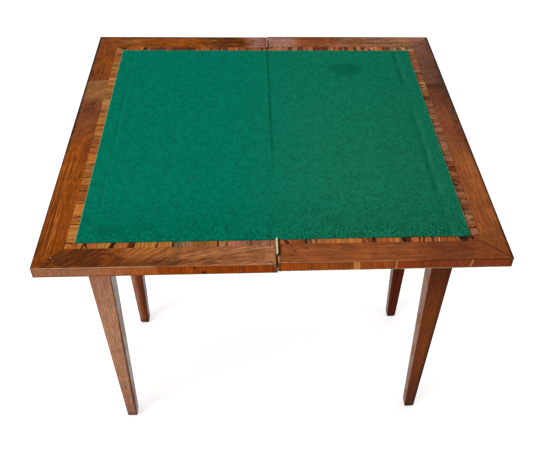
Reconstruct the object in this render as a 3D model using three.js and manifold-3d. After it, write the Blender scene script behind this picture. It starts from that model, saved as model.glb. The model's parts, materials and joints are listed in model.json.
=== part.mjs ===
// A swivel-top card table, shown open for play.
// Two equal leaves are hinged along a seam. The fixed leaf turns on a bolt in the frame, and the flap
// folds over on top of it. Open, the square top lies centred on the frame. Folded and turned a quarter,
// the two leaves lie along the frame and cover the well inside it.
// Lengths are in millimetres. X runs along the frame, Y runs along the seam, Z is up, and the origin is
// on the floor under the middle of the top.

import * as THREE from 'three';
import { mergeVertices } from 'three/addons/utils/BufferGeometryUtils.js';
import Module from 'manifold-3d';

const wasm = await Module();
wasm.setup();

// Open top
const playingHeight = 760;
const leafWidth = 400;
const leafLength = 800;
const leafThickness = 20;
const seamGap = 0.6;
const leafShift = 3;

// Leaf make-up
const veneer = 1.5;
const edgeVeneer = 1.5;
const edgeSetback = 0.4;
const borderWidth = 46;
const backBorderWidth = 52;
const crossbandWidth = 43;
const flapLipping = 7;
const fixedLipping = 2.5;
const clampWidth = 60;
const tongueThickness = 5;
const tongueLength = 12;

// Baize, one cloth glued over both leaves
const baizeThickness = 1.2;
const baizeInsetSide = 61;
const baizeInsetFront = 58.5;
const baizeInsetBack = 70;
const baizeClearance = 0.3;

// Butt hinges let into the seam, one near each end
const hingeInset = 40;
const barrelLength = 40;
const barrelRadius = 2.75;
const barrelClearance = 0.4;
const knuckleCount = 5;
const knuckleGap = 0.2;
const pinRadius = 1.2;
const pinClearance = 0.2;
const plateLength = 44;
const plateHeight = 13;
const plateThickness = 1.6;
const plateClearance = 0.2;
const fixedNotchWidth = 4.4;

// Frame and legs
const overhang = 16;
const slideGap = 0.3;
const apronHeight = 100;
const apronThickness = 20;
const legWidth = 50;
const legProud = 1.5;
const footWidth = 24;
const footChamfer = 3.5;
const footChamferHeight = 8;
const tenonThickness = 8;
const tenonInset = 6;
const tenonLength = 28;
const tenonShoulder = 14;
const jointClearance = 0.25;
const bottomThickness = 8;
const bottomRebate = 9;
const bottomClearance = 0.5;

// Swivel: bolt, plate and nut, the rail that carries them, and the peg that stops the turn
const railThickness = 28;
const railReach = 40;
const dovetailLength = 13;
const dovetailThickness = 16;
const dovetailShoulder = 14;
const dovetailFlare = 2.5;
const boltRadius = 6;
const boltClearance = 0.3;
const boltHeadRadius = 13;
const boltHeadThickness = 4;
const boltEnd = 4;
const swivelPlateWidth = 80;
const swivelPlateThickness = 4;
const washerRadius = 18;
const washerThickness = 2.5;
const nutWidth = 21;
const nutThickness = 10;
const screwRadius = 2.2;
const screwHeadRadius = 4.4;
const screwHeadDepth = 2.6;
const screwLength = 12;
const screwSpacing = 58;
const pegRadius = 9;
const pegDepth = 12;
const pegDrop = 16;
const pegArm = 110;
const stopClearance = 0.3;

// Places that follow from the sizes
const frameLength = leafLength - 2 * overhang;
const frameWidth = leafWidth - 2 * overhang;
const leafUnderside = playingHeight - leafThickness;
const frameTop = leafUnderside - slideGap;
const frameBottom = frameTop - apronHeight;
const apronInner = legProud + apronThickness;
const hingeAxis = baizeThickness + baizeClearance;
const hingeY = leafLength / 2 - hingeInset;
const pivot = leafWidth / 4;
const stopReach = frameWidth / 2 - apronInner - pivot - pegRadius - stopClearance;
const railLeft = pivot - stopReach + pegRadius + stopClearance;
const railRight = pivot + railReach;

// Facets of a round shape, and how far a cutting shape runs past the face that it opens
const segments = 32;
const over = 1;

const walnut = { color: 0x8a4a22, roughness: 0.42, metalness: 0 };
const walnutBand = { color: 0x8f4d25, roughness: 0.38, metalness: 0 };
const tulipwood = { color: 0xb9672c, roughness: 0.4, metalness: 0 };
const beech = { color: 0xa8714a, roughness: 0.5, metalness: 0 };
const poplar = { color: 0xb59a6e, roughness: 0.7, metalness: 0 };
const fir = { color: 0xa9855a, roughness: 0.75, metalness: 0 };
const baize = { color: 0x00735a, roughness: 0.95, metalness: 0 };
const brass = { color: 0xc9b36a, roughness: 0.35, metalness: 1 };
const iron = { color: 0x4a443e, roughness: 0.6, metalness: 1 };

// Every vertex lies on a fine grid, so that faces which meet share one plane
const gridStep = 1 / 1024;
const snap = (value) => Math.round(value / gridStep) * gridStep;

function snapped(geometry) {
  const points = geometry.getAttribute('position');
  for (let i = 0; i < points.count; i++) {
    points.setXYZ(i, snap(points.getX(i)), snap(points.getY(i)), snap(points.getZ(i)));
  }
  return geometry;
}

// A flat board: a plan outline as [x, y] pairs, standing from low to high
function board(outline, low, high) {
  const shape = new THREE.Shape(outline.map(([x, y]) => new THREE.Vector2(x, y)));
  const geometry = new THREE.ExtrudeGeometry(shape, { depth: 1, bevelEnabled: false });
  const points = geometry.getAttribute('position');
  for (let i = 0; i < points.count; i++) {
    points.setZ(i, points.getZ(i) < 0.5 ? low : high);
  }
  return snapped(geometry);
}

const rectangle = (x0, x1, y0, y1) => [[x0, y0], [x1, y0], [x1, y1], [x0, y1]];
const block = (x0, x1, y0, y1, low, high) => board(rectangle(x0, x1, y0, y1), low, high);

// An upright turned shape at x, y: its profile runs from the axis and back to it as [radius, z] pairs
function turned(profile, x = 0, y = 0, sides = segments) {
  const points = profile.map(([radius, z]) => new THREE.Vector2(radius, z));
  const geometry = new THREE.LatheGeometry(points, sides);
  return snapped(geometry.rotateX(Math.PI / 2).translate(x, y, 0));
}

const rod = (radius, low, high, x = 0, y = 0) =>
  turned([[0, low], [radius, low], [radius, high], [0, high]], x, y);

// A rod lying along Y with its axis at x = 0 and z = 0
function rodAlongY(radius, start, end) {
  const geometry = new THREE.CylinderGeometry(radius, radius, end - start, segments);
  return snapped(geometry.translate(0, (start + end) / 2, 0));
}

function solid(geometry) {
  const bare = geometry.clone();
  bare.deleteAttribute('normal');
  bare.deleteAttribute('uv');
  const merged = mergeVertices(bare, gridStep / 4);
  const vertProperties = new Float32Array(merged.getAttribute('position').array);
  return new wasm.Manifold(
    new wasm.Mesh({ numProp: 3, vertProperties, triVerts: new Uint32Array(merged.index.array) }),
  );
}

function geometryOf(body) {
  const mesh = body.getMesh();
  const geometry = new THREE.BufferGeometry();
  geometry.setAttribute('position', new THREE.BufferAttribute(mesh.vertProperties, 3));
  geometry.setIndex(new THREE.BufferAttribute(mesh.triVerts, 1));
  const flat = geometry.toNonIndexed();
  flat.computeVertexNormals();
  return flat;
}

const quarterTurn = Math.PI / 2;

const join = (first, ...rest) =>
  geometryOf(rest.reduce((body, other) => body.add(solid(other)), solid(first)));
const cut = (first, ...tools) =>
  geometryOf(tools.reduce((body, tool) => body.subtract(solid(tool)), solid(first)));

function place(object, x, y, z, turn = 0) {
  object.position.set(snap(x), snap(y), snap(z));
  object.rotation.z = turn;
  return object;
}

function piece(parent, name, geometry, finish) {
  const mesh = new THREE.Mesh(geometry, new THREE.MeshStandardMaterial(finish));
  mesh.name = name;
  parent.add(mesh);
  return mesh;
}

// Leg: a square block at the frame, then a pyramid tapering evenly to the foot.
// Its two mortises face +x and +y, and the other corners use it turned.
function legGeometry() {
  const corner = Math.SQRT2 / 2;
  const profile = [
    [0, 0],
    [(footWidth - 2 * footChamfer) * corner, 0],
    [footWidth * corner, footChamferHeight],
    [legWidth * corner, frameBottom],
    [legWidth * corner, frameTop],
    [0, frameTop],
  ].map(([radius, z]) => new THREE.Vector2(radius, z));
  const pyramid = new THREE.LatheGeometry(profile, 4, Math.PI / 4).rotateX(Math.PI / 2);
  const near = -legWidth / 2 + legProud + tenonInset - jointClearance;
  const far = near + tenonThickness + 2 * jointClearance;
  const deep = legWidth / 2 - tenonLength - jointClearance;
  const mouth = legWidth / 2 + over;
  const low = frameBottom + tenonShoulder - jointClearance;
  const high = frameTop - tenonShoulder + jointClearance;
  return cut(
    snapped(pyramid),
    block(deep, mouth, near, far, low, high),
    block(near, far, deep, mouth, low, high),
  );
}

// A dovetail seen from above: its root lies on y = rootY between two shoulders of the rail's width,
// and it widens towards its tip. grow is the clearance all round when it is a socket.
function dovetailOutline(left, right, rootY, tipY, grow) {
  const tip = tipY + Math.sign(tipY - rootY) * grow;
  const rootLeft = left + dovetailShoulder - grow;
  const rootRight = right - dovetailShoulder + grow;
  return [
    [rootLeft, rootY], [rootRight, rootY],
    [rootRight + dovetailFlare, tip], [rootLeft - dovetailFlare, tip],
  ];
}

// Apron: its outer face lies on y = 0, it runs along x, and its top is z = 0.
// socket holds the rail's two sides where the apron has the rail's dovetail let in from above.
function apronGeometry(outerLength, socket) {
  const half = outerLength / 2 - legWidth;
  const plank = block(-half, half, 0, apronThickness, -apronHeight, 0);
  const tenon = block(-half - tenonLength, half + tenonLength, tenonInset,
    tenonInset + tenonThickness, -apronHeight + tenonShoulder, -tenonShoulder);
  const rebate = block(-half - over, half + over, apronThickness - bottomRebate,
    apronThickness + over, -apronHeight - over, -apronHeight + bottomThickness);
  if (!socket) {
    return cut(join(plank, tenon), rebate);
  }
  const [left, right] = socket;
  const tail = board(
    dovetailOutline(left, right, apronThickness, apronThickness - dovetailLength, jointClearance),
    -dovetailThickness, over,
  );
  return cut(join(plank, tenon), rebate, tail);
}

// Bottom of the well: one board in the aprons' rebates, notched round the legs
function bottomGeometry() {
  const x = frameLength / 2 - apronInner + bottomRebate - bottomClearance;
  const y = frameWidth / 2 - apronInner + bottomRebate - bottomClearance;
  const legX = frameLength / 2 - legWidth - bottomClearance;
  const legY = frameWidth / 2 - legWidth - bottomClearance;
  const outline = [
    [-legX, -y], [legX, -y], [legX, -legY], [x, -legY], [x, legY], [legX, legY],
    [legX, y], [-legX, y], [-legX, legY], [-x, legY], [-x, -legY], [-legX, -legY],
  ];
  return board(outline, frameBottom, frameBottom + bottomThickness);
}

// Rail across the frame for the bolt, with a dovetail at each end lapped into an apron
function railGeometry() {
  const end = frameWidth / 2 - apronInner;
  const tails = [-end, end].map((root) =>
    board(
      dovetailOutline(railLeft, railRight, root, root + Math.sign(root) * dovetailLength, 0),
      frameTop - dovetailThickness, frameTop,
    ));
  return cut(
    join(block(railLeft, railRight, -end, end, frameTop - railThickness, frameTop), ...tails),
    rod(boltRadius + boltClearance, frameTop - railThickness - over, frameTop + over, pivot, pivot),
  );
}

function makeBase() {
  const base = new THREE.Group();
  const legX = (frameLength - legWidth) / 2;
  const legY = (frameWidth - legWidth) / 2;
  const corners = [
    ['leg_front_left', -1, -1, 0],
    ['leg_front_right', 1, -1, 1],
    ['leg_back_right', 1, 1, 2],
    ['leg_back_left', -1, 1, 3],
  ];
  const leg = legGeometry();
  for (const [name, sideX, sideY, turns] of corners) {
    place(piece(base, name, leg, walnut), sideX * legX, sideY * legY, 0, turns * quarterTurn);
  }
  const x = frameLength / 2 - legProud;
  const y = frameWidth / 2 - legProud;
  const front = piece(base, 'apron_front', apronGeometry(frameLength, [railLeft, railRight]), walnut);
  const back = piece(base, 'apron_back', apronGeometry(frameLength, [-railRight, -railLeft]), walnut);
  const left = piece(base, 'apron_left', apronGeometry(frameWidth), walnut);
  const right = piece(base, 'apron_right', apronGeometry(frameWidth), walnut);
  place(front, 0, -y, frameTop);
  place(back, 0, y, frameTop, 2 * quarterTurn);
  place(left, -x, 0, frameTop, -quarterTurn);
  place(right, x, 0, frameTop, quarterTurn);
  piece(base, 'well_bottom', bottomGeometry(), fir);
  piece(base, 'pivot_rail', railGeometry(), fir);
  return base;
}

// A strip of a mitred surround, between an outer and an inner inset, from the seam end round to a side.
// side is the leaf's direction from the seam: 1 for the fixed leaf and -1 for the flap. The insets of the
// back may differ.
function strip(where, side, start, outer, inner, backOuter = outer, backInner = inner) {
  const seam = side * start;
  const x = (inset) => side * (leafWidth - inset);
  const y = (inset) => leafLength / 2 - inset;
  const outlines = {
    front: [[seam, -y(outer)], [x(outer), -y(outer)], [x(inner), -y(inner)], [seam, -y(inner)]],
    side: [[x(outer), -y(outer)], [x(outer), y(backOuter)], [x(inner), y(backInner)], [x(inner), -y(inner)]],
    back: [[seam, y(backOuter)], [x(outer), y(backOuter)], [x(inner), y(backInner)], [seam, y(backInner)]],
  };
  return outlines[where];
}

// Leaf in its own frame: the top of the wood is z = 0 and the seam is x = 0
function makeLeaf(name, side, lipping, notchWidth) {
  const leaf = new THREE.Group();
  const shift = side * leafShift / 2;
  const bottom = -leafThickness;
  const coreTop = -veneer;
  const coreBottom = bottom + veneer;
  const edgeIn = edgeSetback + edgeVeneer;
  const fieldInset = borderWidth + crossbandWidth;
  const halfLength = leafLength / 2;
  const coreEnd = halfLength - edgeIn - clampWidth;
  const add = (part, geometry, finish) => piece(leaf, `${name}_${part}`, geometry, finish);
  const across = (x0, x1, y0, y1, low, high) => {
    const [left, right] = [side * x0, side * x1].sort((a, b) => a - b);
    return block(left, right, y0, y1, low, high);
  };

  // Notches for the hinge barrels, and pockets for the plates
  const hinges = [-hingeY - shift, hingeY - shift];
  const notchHalf = barrelLength / 2 + barrelClearance;
  const plateHalf = plateLength / 2 + plateClearance;
  const plateLow = hingeAxis - barrelRadius - barrelClearance - plateHeight;
  const pocketDeep = seamGap / 2 + plateThickness;
  const notches = hinges.flatMap((y) => {
    const round = rodAlongY(barrelRadius + barrelClearance, y - notchHalf, y + notchHalf);
    const low = hingeAxis - barrelRadius - barrelClearance;
    const wide = across(0, notchWidth, y - notchHalf, y + notchHalf, low, over);
    return [round.translate(0, 0, snap(hingeAxis)), ...(notchWidth ? [wide] : [])];
  });
  const pockets = hinges.map((y) =>
    across(-over, pocketDeep, y - plateHalf, y + plateHalf, plateLow, over));

  // Core with a tongue at each end, held flat by grooved clamps
  const tongueMid = (coreTop + coreBottom) / 2;
  const tongueLow = tongueMid - tongueThickness / 2;
  const tongueHigh = tongueMid + tongueThickness / 2;
  const coreSide = leafWidth - edgeIn;
  const coreTongue = coreEnd + tongueLength;
  const core = join(
    across(lipping, coreSide, -coreEnd, coreEnd, coreBottom, coreTop),
    across(lipping, coreSide, -coreTongue, coreTongue, tongueLow, tongueHigh),
  );
  const groove = coreTongue + jointClearance;
  for (const [end, sign] of [['front', -1], ['back', 1]]) {
    const [y0, y1] = [sign * coreEnd, sign * (halfLength - edgeIn)].sort((a, b) => a - b);
    const [g0, g1] = [sign * (coreEnd - over), sign * groove].sort((a, b) => a - b);
    const clamp = cut(
      across(lipping, coreSide, y0, y1, coreBottom, coreTop),
      across(lipping - over, coreSide + over, g0, g1, tongueLow - jointClearance,
        tongueHigh + jointClearance),
    );
    add(`clamp_${end}`, clamp, poplar);
  }

  // Surrounds: walnut border, tulipwood crossband inside it, and veneered edges under the border
  for (const where of ['front', 'side', 'back']) {
    const border = board(strip(where, side, lipping, 0, borderWidth, 0, backBorderWidth), coreTop, 0);
    const bandStrip = strip(where, side, lipping, borderWidth, fieldInset, backBorderWidth, fieldInset);
    const band = board(bandStrip, coreTop, 0);
    const edge = board(strip(where, side, lipping, edgeSetback, edgeIn), coreBottom, coreTop);
    const notched = notchWidth > lipping && where !== 'side';
    add(`border_${where}`, notched ? cut(border, ...notches) : border, walnutBand);
    add(`crossband_${where}`, notched ? cut(band, ...notches) : band, tulipwood);
    add(`edge_${where}`, edge, walnut);
  }
  const fieldEnd = halfLength - fieldInset;
  add('field_ground', across(lipping, leafWidth - fieldInset, -fieldEnd, fieldEnd, coreTop, 0), poplar);
  const lippingEnd = halfLength - edgeSetback;
  const lip = across(seamGap / 2, lipping, -lippingEnd, lippingEnd, bottom, 0);
  add('seam_lipping', cut(lip, ...notches, ...pockets), beech);

  const clothFront = baizeInsetFront - halfLength - shift;
  const clothBack = halfLength - baizeInsetBack - shift;
  const cloth = across(seamGap / 2, leafWidth - baizeInsetSide, clothFront, clothBack, 0, baizeThickness);
  const clothNotch = Math.max(notchWidth, barrelRadius + barrelClearance);
  const clothNotches = hinges.map((y) =>
    across(0, clothNotch, y - notchHalf, y + notchHalf, -over, baizeThickness + over));
  add('baize', cut(cloth, ...clothNotches), baize);
  const face = across(lipping, leafWidth - edgeSetback, -lippingEnd, lippingEnd, bottom, coreBottom);
  return { leaf, add, core, face, shift };
}

function makeFlap() {
  const { leaf, add, core, face, shift } = makeLeaf('flap', -1, flapLipping, 0);
  add('core', core, poplar);
  add('outer_veneer', face, walnut);
  return place(leaf, 0, shift, playingHeight);
}

// Fixed leaf: the swivel plate is let in flush with its underside and traps the bolt's head
function makeFixedLeaf() {
  const { leaf, add, core, face, shift } = makeLeaf('fixed', 1, fixedLipping, fixedNotchWidth);
  const x = pivot;
  const y = pivot - shift;
  const bottom = -leafThickness;
  const plateTop = bottom + swivelPlateThickness;
  const pocket = swivelPlateWidth / 2 + jointClearance;
  const plateHalf = swivelPlateWidth / 2;
  const headTop = plateTop + boltHeadThickness;
  const screwTip = bottom + screwLength;
  const corners = [[-1, -1], [1, -1], [1, 1], [-1, 1]];
  const screwAt = corners.map(([u, v]) => [x + u * screwSpacing / 2, y + v * screwSpacing / 2]);
  const pegX = pivot - stopReach;
  const pegY = pivot - pegArm - shift;
  const pegTop = bottom + pegDepth;

  const platePocket = block(x - pocket, x + pocket, y - pocket, y + pocket, bottom - over, plateTop);
  const headPocket = rod(boltHeadRadius + boltClearance, bottom, headTop + boltClearance, x, y);
  const pegHole = rod(pegRadius + jointClearance, bottom - over, pegTop + jointClearance, pegX, pegY);
  const pilots = screwAt.map(([u, v]) =>
    rod(screwRadius + jointClearance, bottom, screwTip + jointClearance, u, v));
  add('core', cut(core, platePocket, headPocket, pegHole, ...pilots), poplar);
  add('backing_veneer', cut(face, platePocket, pegHole), poplar);

  // Countersunk screws, and the holes that they sit in with a clearance
  const grown = jointClearance;
  const sinkProfile = [
    [0, bottom - over],
    [screwHeadRadius + grown, bottom - over],
    [screwHeadRadius + grown, bottom],
    [screwRadius + grown, bottom + screwHeadDepth],
    [screwRadius + grown, plateTop + over],
    [0, plateTop + over],
  ];
  const screwProfile = [
    [0, bottom],
    [screwHeadRadius, bottom],
    [screwRadius, bottom + screwHeadDepth],
    [screwRadius, screwTip],
    [0, screwTip],
  ];
  const sinks = screwAt.map(([u, v]) => turned(sinkProfile, u, v));
  const boltHole = rod(boltRadius + boltClearance, bottom - over, plateTop + over, x, y);
  const plate = block(x - plateHalf, x + plateHalf, y - plateHalf, y + plateHalf, bottom, plateTop);
  add('swivel_plate', cut(plate, boltHole, ...sinks), iron);
  screwAt.forEach(([u, v], i) => {
    add(`swivel_plate_screw_${i + 1}`, turned(screwProfile, u, v), iron);
  });

  const washerTop = bottom - 2 * slideGap - railThickness;
  const nutTop = washerTop - washerThickness;
  const nutBottom = nutTop - nutThickness;
  const boltTip = nutBottom - boltEnd;
  const bolt = turned([
    [0, boltTip], [boltRadius, boltTip], [boltRadius, plateTop],
    [boltHeadRadius, plateTop], [boltHeadRadius, headTop], [0, headTop],
  ], x, y);
  const threadHole = rod(boltRadius + boltClearance, nutBottom - over, washerTop + over, x, y);
  const nutHalf = nutWidth / 2;
  const nut = block(x - nutHalf, x + nutHalf, y - nutHalf, y + nutHalf, nutBottom, nutTop);
  add('swivel_bolt', bolt, iron);
  add('swivel_washer', cut(rod(washerRadius, nutTop, washerTop, x, y), threadHole), iron);
  add('swivel_nut', cut(nut, threadHole), iron);
  add('stop_peg', rod(pegRadius, bottom - pegDrop, pegTop, pegX, pegY), beech);
  return place(leaf, 0, shift, playingHeight);
}

// Half of a butt hinge in its own frame, with the pin's axis on y. Knuckles alternate between the plates.
function hingePlate(side, knuckles) {
  const pitch = barrelLength / knuckleCount;
  const ringStart = (k) => -barrelLength / 2 + k * pitch + knuckleGap / 2;
  const inner = seamGap / 2;
  const outer = inner + plateThickness;
  const [left, right] = side > 0 ? [inner, outer] : [-outer, -inner];
  const plateTop = -barrelRadius - barrelClearance;
  const plate = block(left, right, -plateLength / 2, plateLength / 2, plateTop - plateHeight, plateTop);
  const rings = knuckles.flatMap((k) => {
    const start = ringStart(k);
    const end = start + pitch - knuckleGap;
    return [rodAlongY(barrelRadius, start, end), block(left, right, start, end, plateTop - over, 0)];
  });
  const bore = rodAlongY(pinRadius + pinClearance, -barrelLength, barrelLength);
  return cut(join(plate, ...rings), bore);
}

function makeHinges() {
  const hinges = new THREE.Group();
  const numbers = [...Array(knuckleCount).keys()];
  const fixedPlate = hingePlate(1, numbers.filter((k) => k % 2 === 0));
  const flapPlate = hingePlate(-1, numbers.filter((k) => k % 2 === 1));
  const pin = rodAlongY(pinRadius, -barrelLength / 2, barrelLength / 2);
  for (const [name, y] of [['front_hinge', -hingeY], ['back_hinge', hingeY]]) {
    const hinge = place(new THREE.Group(), 0, y, playingHeight + hingeAxis);
    piece(hinge, `${name}_fixed_plate`, fixedPlate, brass);
    piece(hinge, `${name}_flap_plate`, flapPlate, brass);
    piece(hinge, `${name}_pin`, pin, brass);
    hinges.add(hinge);
  }
  return hinges;
}

const cardTable = new THREE.Group();
cardTable.add(makeBase(), makeFixedLeaf(), makeFlap(), makeHinges());

export default cardTable;
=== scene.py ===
# A swivel-top card table, open for play: its finishes, its cloth, and the small work the solids leave out.
# Lengths are in metres, in the solids' own frame: X along the frame, Y along the seam, Z up from the floor.
import json
import math
import random

import bmesh
import bpy
from mathutils import Matrix, Vector

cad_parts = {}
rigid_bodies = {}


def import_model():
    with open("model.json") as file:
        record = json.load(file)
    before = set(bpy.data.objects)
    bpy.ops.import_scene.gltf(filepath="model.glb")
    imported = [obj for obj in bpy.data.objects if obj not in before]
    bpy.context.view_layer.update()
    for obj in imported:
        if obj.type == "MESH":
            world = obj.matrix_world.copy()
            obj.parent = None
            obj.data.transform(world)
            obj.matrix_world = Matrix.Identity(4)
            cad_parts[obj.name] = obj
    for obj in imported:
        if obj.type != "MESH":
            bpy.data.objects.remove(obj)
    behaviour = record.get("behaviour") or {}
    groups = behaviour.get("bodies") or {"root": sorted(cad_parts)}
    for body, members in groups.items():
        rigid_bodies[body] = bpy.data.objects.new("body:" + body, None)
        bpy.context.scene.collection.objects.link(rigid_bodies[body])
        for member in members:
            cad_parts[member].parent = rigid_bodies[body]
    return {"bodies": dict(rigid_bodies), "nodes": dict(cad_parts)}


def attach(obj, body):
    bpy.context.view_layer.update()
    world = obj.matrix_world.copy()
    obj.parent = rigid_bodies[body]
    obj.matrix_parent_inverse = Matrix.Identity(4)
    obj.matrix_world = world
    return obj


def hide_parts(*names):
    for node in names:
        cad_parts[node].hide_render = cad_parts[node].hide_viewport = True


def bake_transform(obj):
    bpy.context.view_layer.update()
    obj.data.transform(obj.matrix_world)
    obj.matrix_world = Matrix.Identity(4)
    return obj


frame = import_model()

nodes = frame["nodes"]
ours = {*nodes, *[body.name for body in frame["bodies"].values()]}
for thing in list(bpy.data.objects):
    if thing.name not in ours:
        bpy.data.objects.remove(thing)
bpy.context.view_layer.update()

# Sizes and places on the open table
MM = 0.001
TOP = 760 * MM
UNDERSIDE = 740 * MM
VENEER = 1.5 * MM
EDGE_TOP = TOP - VENEER
EDGE_BOTTOM = UNDERSIDE + VENEER
HALF_TOP = 400 * MM
# Worn hinges leave the flap this far to the front, and the fixed leaf this far to the back
LEAF_SHIFT = 1.5 * MM
BORDER = 46 * MM
BACK_BORDER = 52 * MM
CROSSBAND = 43 * MM
# Half the square that the crossbands frame
FIELD = HALF_TOP - BORDER - CROSSBAND
FLAP_LIPPING = 7 * MM
FIXED_LIPPING = 2.5 * MM
HINGE_Y = 360 * MM
# How far the notch for a hinge reaches into the fixed leaf, and where it ends along the seam
NOTCH = 4.6 * MM
NOTCH_END = 339.4 * MM
CLOTH_X = 339 * MM
CLOTH_FRONT = -341.5 * MM
CLOTH_BACK = 330 * MM
CLOTH_THICKNESS = 1.2 * MM
# The legs' middles and the aprons' outer faces
LEG_X = 359 * MM
LEG_Y = 159 * MM
APRON_FACE = {"x": 382.5 * MM, "y": 182.5 * MM}
# The hinge screws, and the nails under the well
SCREW_X = 0.3 * MM
SCREW_Z = 751.5 * MM
SCREW_SPACING = 14 * MM
SCREW_HEAD = 2.6 * MM
SCREW_SLOT = 0.5 * MM
WELL_UNDERSIDE = 639.7 * MM
NAIL_HEAD = 2.2 * MM


def paint(code):
    """A linear colour from a hex code."""
    parts = [int(code[i:i + 2], 16) / 255 for i in (0, 2, 4)]
    return (*[c / 12.92 if c <= 0.04045 else ((c + 0.055) / 1.055) ** 2.4 for c in parts], 1.0)


class Bench:
    """A node tree, with short ways to add a node and wire it."""

    def __init__(self, tree):
        self.tree = tree

    def feed(self, socket, value):
        """Gives a socket its value: a link from a socket, a number, a vector, or a colour by its hex code."""
        if isinstance(value, bpy.types.NodeSocket):
            self.tree.links.new(value, socket)
        else:
            socket.default_value = paint(value) if isinstance(value, str) else value

    def add(self, kind, feeds=None, **settings):
        """A new node with its settings, and its sockets fed by name or number."""
        made = self.tree.nodes.new(kind)
        for name, value in settings.items():
            setattr(made, name, value)
        for key, value in (feeds or {}).items():
            self.feed(made.inputs[key], value)
        return made

    def place(self, tree, **feeds):
        """Places a shared effect, and gives its outputs."""
        feeds = {name.replace("_", " "): value for name, value in feeds.items()}
        return self.add("ShaderNodeGroup", feeds, node_tree=tree).outputs

    def maths(self, operation, first, second=0.0):
        return self.add("ShaderNodeMath", {0: first, 1: second}, operation=operation).outputs[0]

    def times(self, first, second):
        return self.maths("MULTIPLY", first, second)

    def plus(self, first, second):
        return self.maths("ADD", first, second)

    def minus(self, first, second):
        return self.maths("SUBTRACT", first, second)

    def vector(self, operation, first, second):
        return self.add("ShaderNodeVectorMath", {0: first, 1: second}, operation=operation).outputs[0]

    def measure(self, operation, first, second=(0, 0, 0)):
        """A number from vectors, such as a length or how far one points along the other."""
        return self.add("ShaderNodeVectorMath", {0: first, 1: second}, operation=operation).outputs["Value"]

    def split(self, vector):
        return self.add("ShaderNodeSeparateXYZ", {0: vector}).outputs

    def combine(self, x, y, z):
        return self.add("ShaderNodeCombineXYZ", {0: x, 1: y, 2: z}).outputs[0]

    def noise(self, place, stretch, detail=2.0, roughness=0.5, distortion=0.0):
        """Smooth noise, with so many swells to the metre along each axis as stretch says."""
        feeds = {"Vector": self.vector("MULTIPLY", place, stretch) if stretch else place, "Scale": 1.0,
                 "Detail": detail, "Roughness": roughness, "Distortion": distortion}
        return self.add("ShaderNodeTexNoise", feeds).outputs["Fac"]

    def band(self, value, low, high, start=0.0, end=1.0):
        """Runs smoothly from start to end while value goes from low to high."""
        feeds = {"Value": value, "From Min": low, "From Max": high, "To Min": start, "To Max": end}
        return self.add("ShaderNodeMapRange", feeds, interpolation_type="SMOOTHSTEP").outputs[0]

    def mix(self, factor, first, second, blend="MIX"):
        """One colour laid over another."""
        feeds = {0: factor, 6: first, 7: second}
        return self.add("ShaderNodeMix", feeds, data_type="RGBA", blend_type=blend).outputs[2]

    def ramp(self, value, stops):
        """Colours that follow a value, each from its own place on."""
        made = self.add("ShaderNodeValToRGB", {0: value})
        ends = made.color_ramp.elements
        while len(ends) < len(stops):
            ends.new(0.5)
        for end, (place, colour) in zip(ends, stops):
            end.position = place
            end.color = colour
        return made.outputs[0]


KINDS = {"vector": "NodeSocketVector", "value": "NodeSocketFloat", "colour": "NodeSocketColor"}


def shared(name, inputs, outputs):
    """An empty node group with named inputs and outputs, each given as label: kind."""
    tree = bpy.data.node_groups.new(name, "ShaderNodeTree")
    for label, kind in inputs.items():
        tree.interface.new_socket(label, in_out="INPUT", socket_type=KINDS[kind])
    for label, kind in outputs.items():
        tree.interface.new_socket(label, in_out="OUTPUT", socket_type=KINDS[kind])
    bench = Bench(tree)
    return bench, bench.add("NodeGroupInput").outputs, bench.add("NodeGroupOutput").inputs


def put_out(bench, result, **values):
    """Feeds the outputs of a shared effect, and gives its tree."""
    for label, value in values.items():
        bench.feed(result[label], value)
    return bench.tree


def make_wood_figure():
    """Growth rings, fibres, pores, veins, flecks and shimmer of wood whose grain runs along X."""
    bench, given, result = shared(
        "Wood figure",
        {"Position": "vector", "Ring Width": "value", "Wander": "value"},
        {"Figure": "value", "Fibre": "value", "Pores": "value", "Veins": "value", "Flecks": "value",
         "Shimmer": "value"})
    place = given["Position"]
    along, across, deep = bench.split(place)
    sway = bench.minus(bench.noise(place, (3.2, 9, 9), 1.5), 0.5)
    ripple = bench.minus(bench.noise(place, (16, 60, 60), 2), 0.5)
    swing = bench.plus(bench.times(sway, 3.0), bench.times(ripple, 0.35))
    swing = bench.times(swing, given["Wander"])
    slope = bench.times(deep, 0.45)
    ring = bench.plus(bench.plus(across, slope), swing)
    drifted = bench.combine(along, ring, deep)
    ring = bench.maths("DIVIDE", ring, given["Ring Width"])
    drift = bench.combine(ring, bench.times(along, 3.0), 0.0)
    season = bench.noise(drift, (0.42, 1, 1), 3, 0.6)
    turn = bench.maths("FRACT", bench.plus(ring, bench.times(season, 1.6)))
    late = bench.times(bench.band(turn, 0.35, 0.93), bench.band(turn, 1.0, 0.94))
    late = bench.times(late, bench.band(season, 0.3, 0.62, 0.25, 1.0))
    figure = bench.plus(bench.times(bench.band(season, 0.28, 0.74), 0.62), bench.times(late, 0.42))
    fibre = bench.noise(drifted, (60, 560, 560), 2, 0.55)
    dash = bench.noise(place, (110, 1700, 1700), 1)
    pores = bench.times(bench.band(dash, 0.6, 0.72), bench.band(season, 0.3, 0.6, 0.35, 1.0))
    veins = bench.noise(drifted, (24, 300, 300), 3, 0.62)
    flecks = bench.noise(place, (170, 440, 440), 2, 0.65)
    shimmer = bench.noise(place, (34, 12, 12), 2)
    return put_out(bench, result, Figure=figure, Fibre=fibre, Pores=pores, Veins=veins, Flecks=flecks,
                   Shimmer=shimmer)


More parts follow.
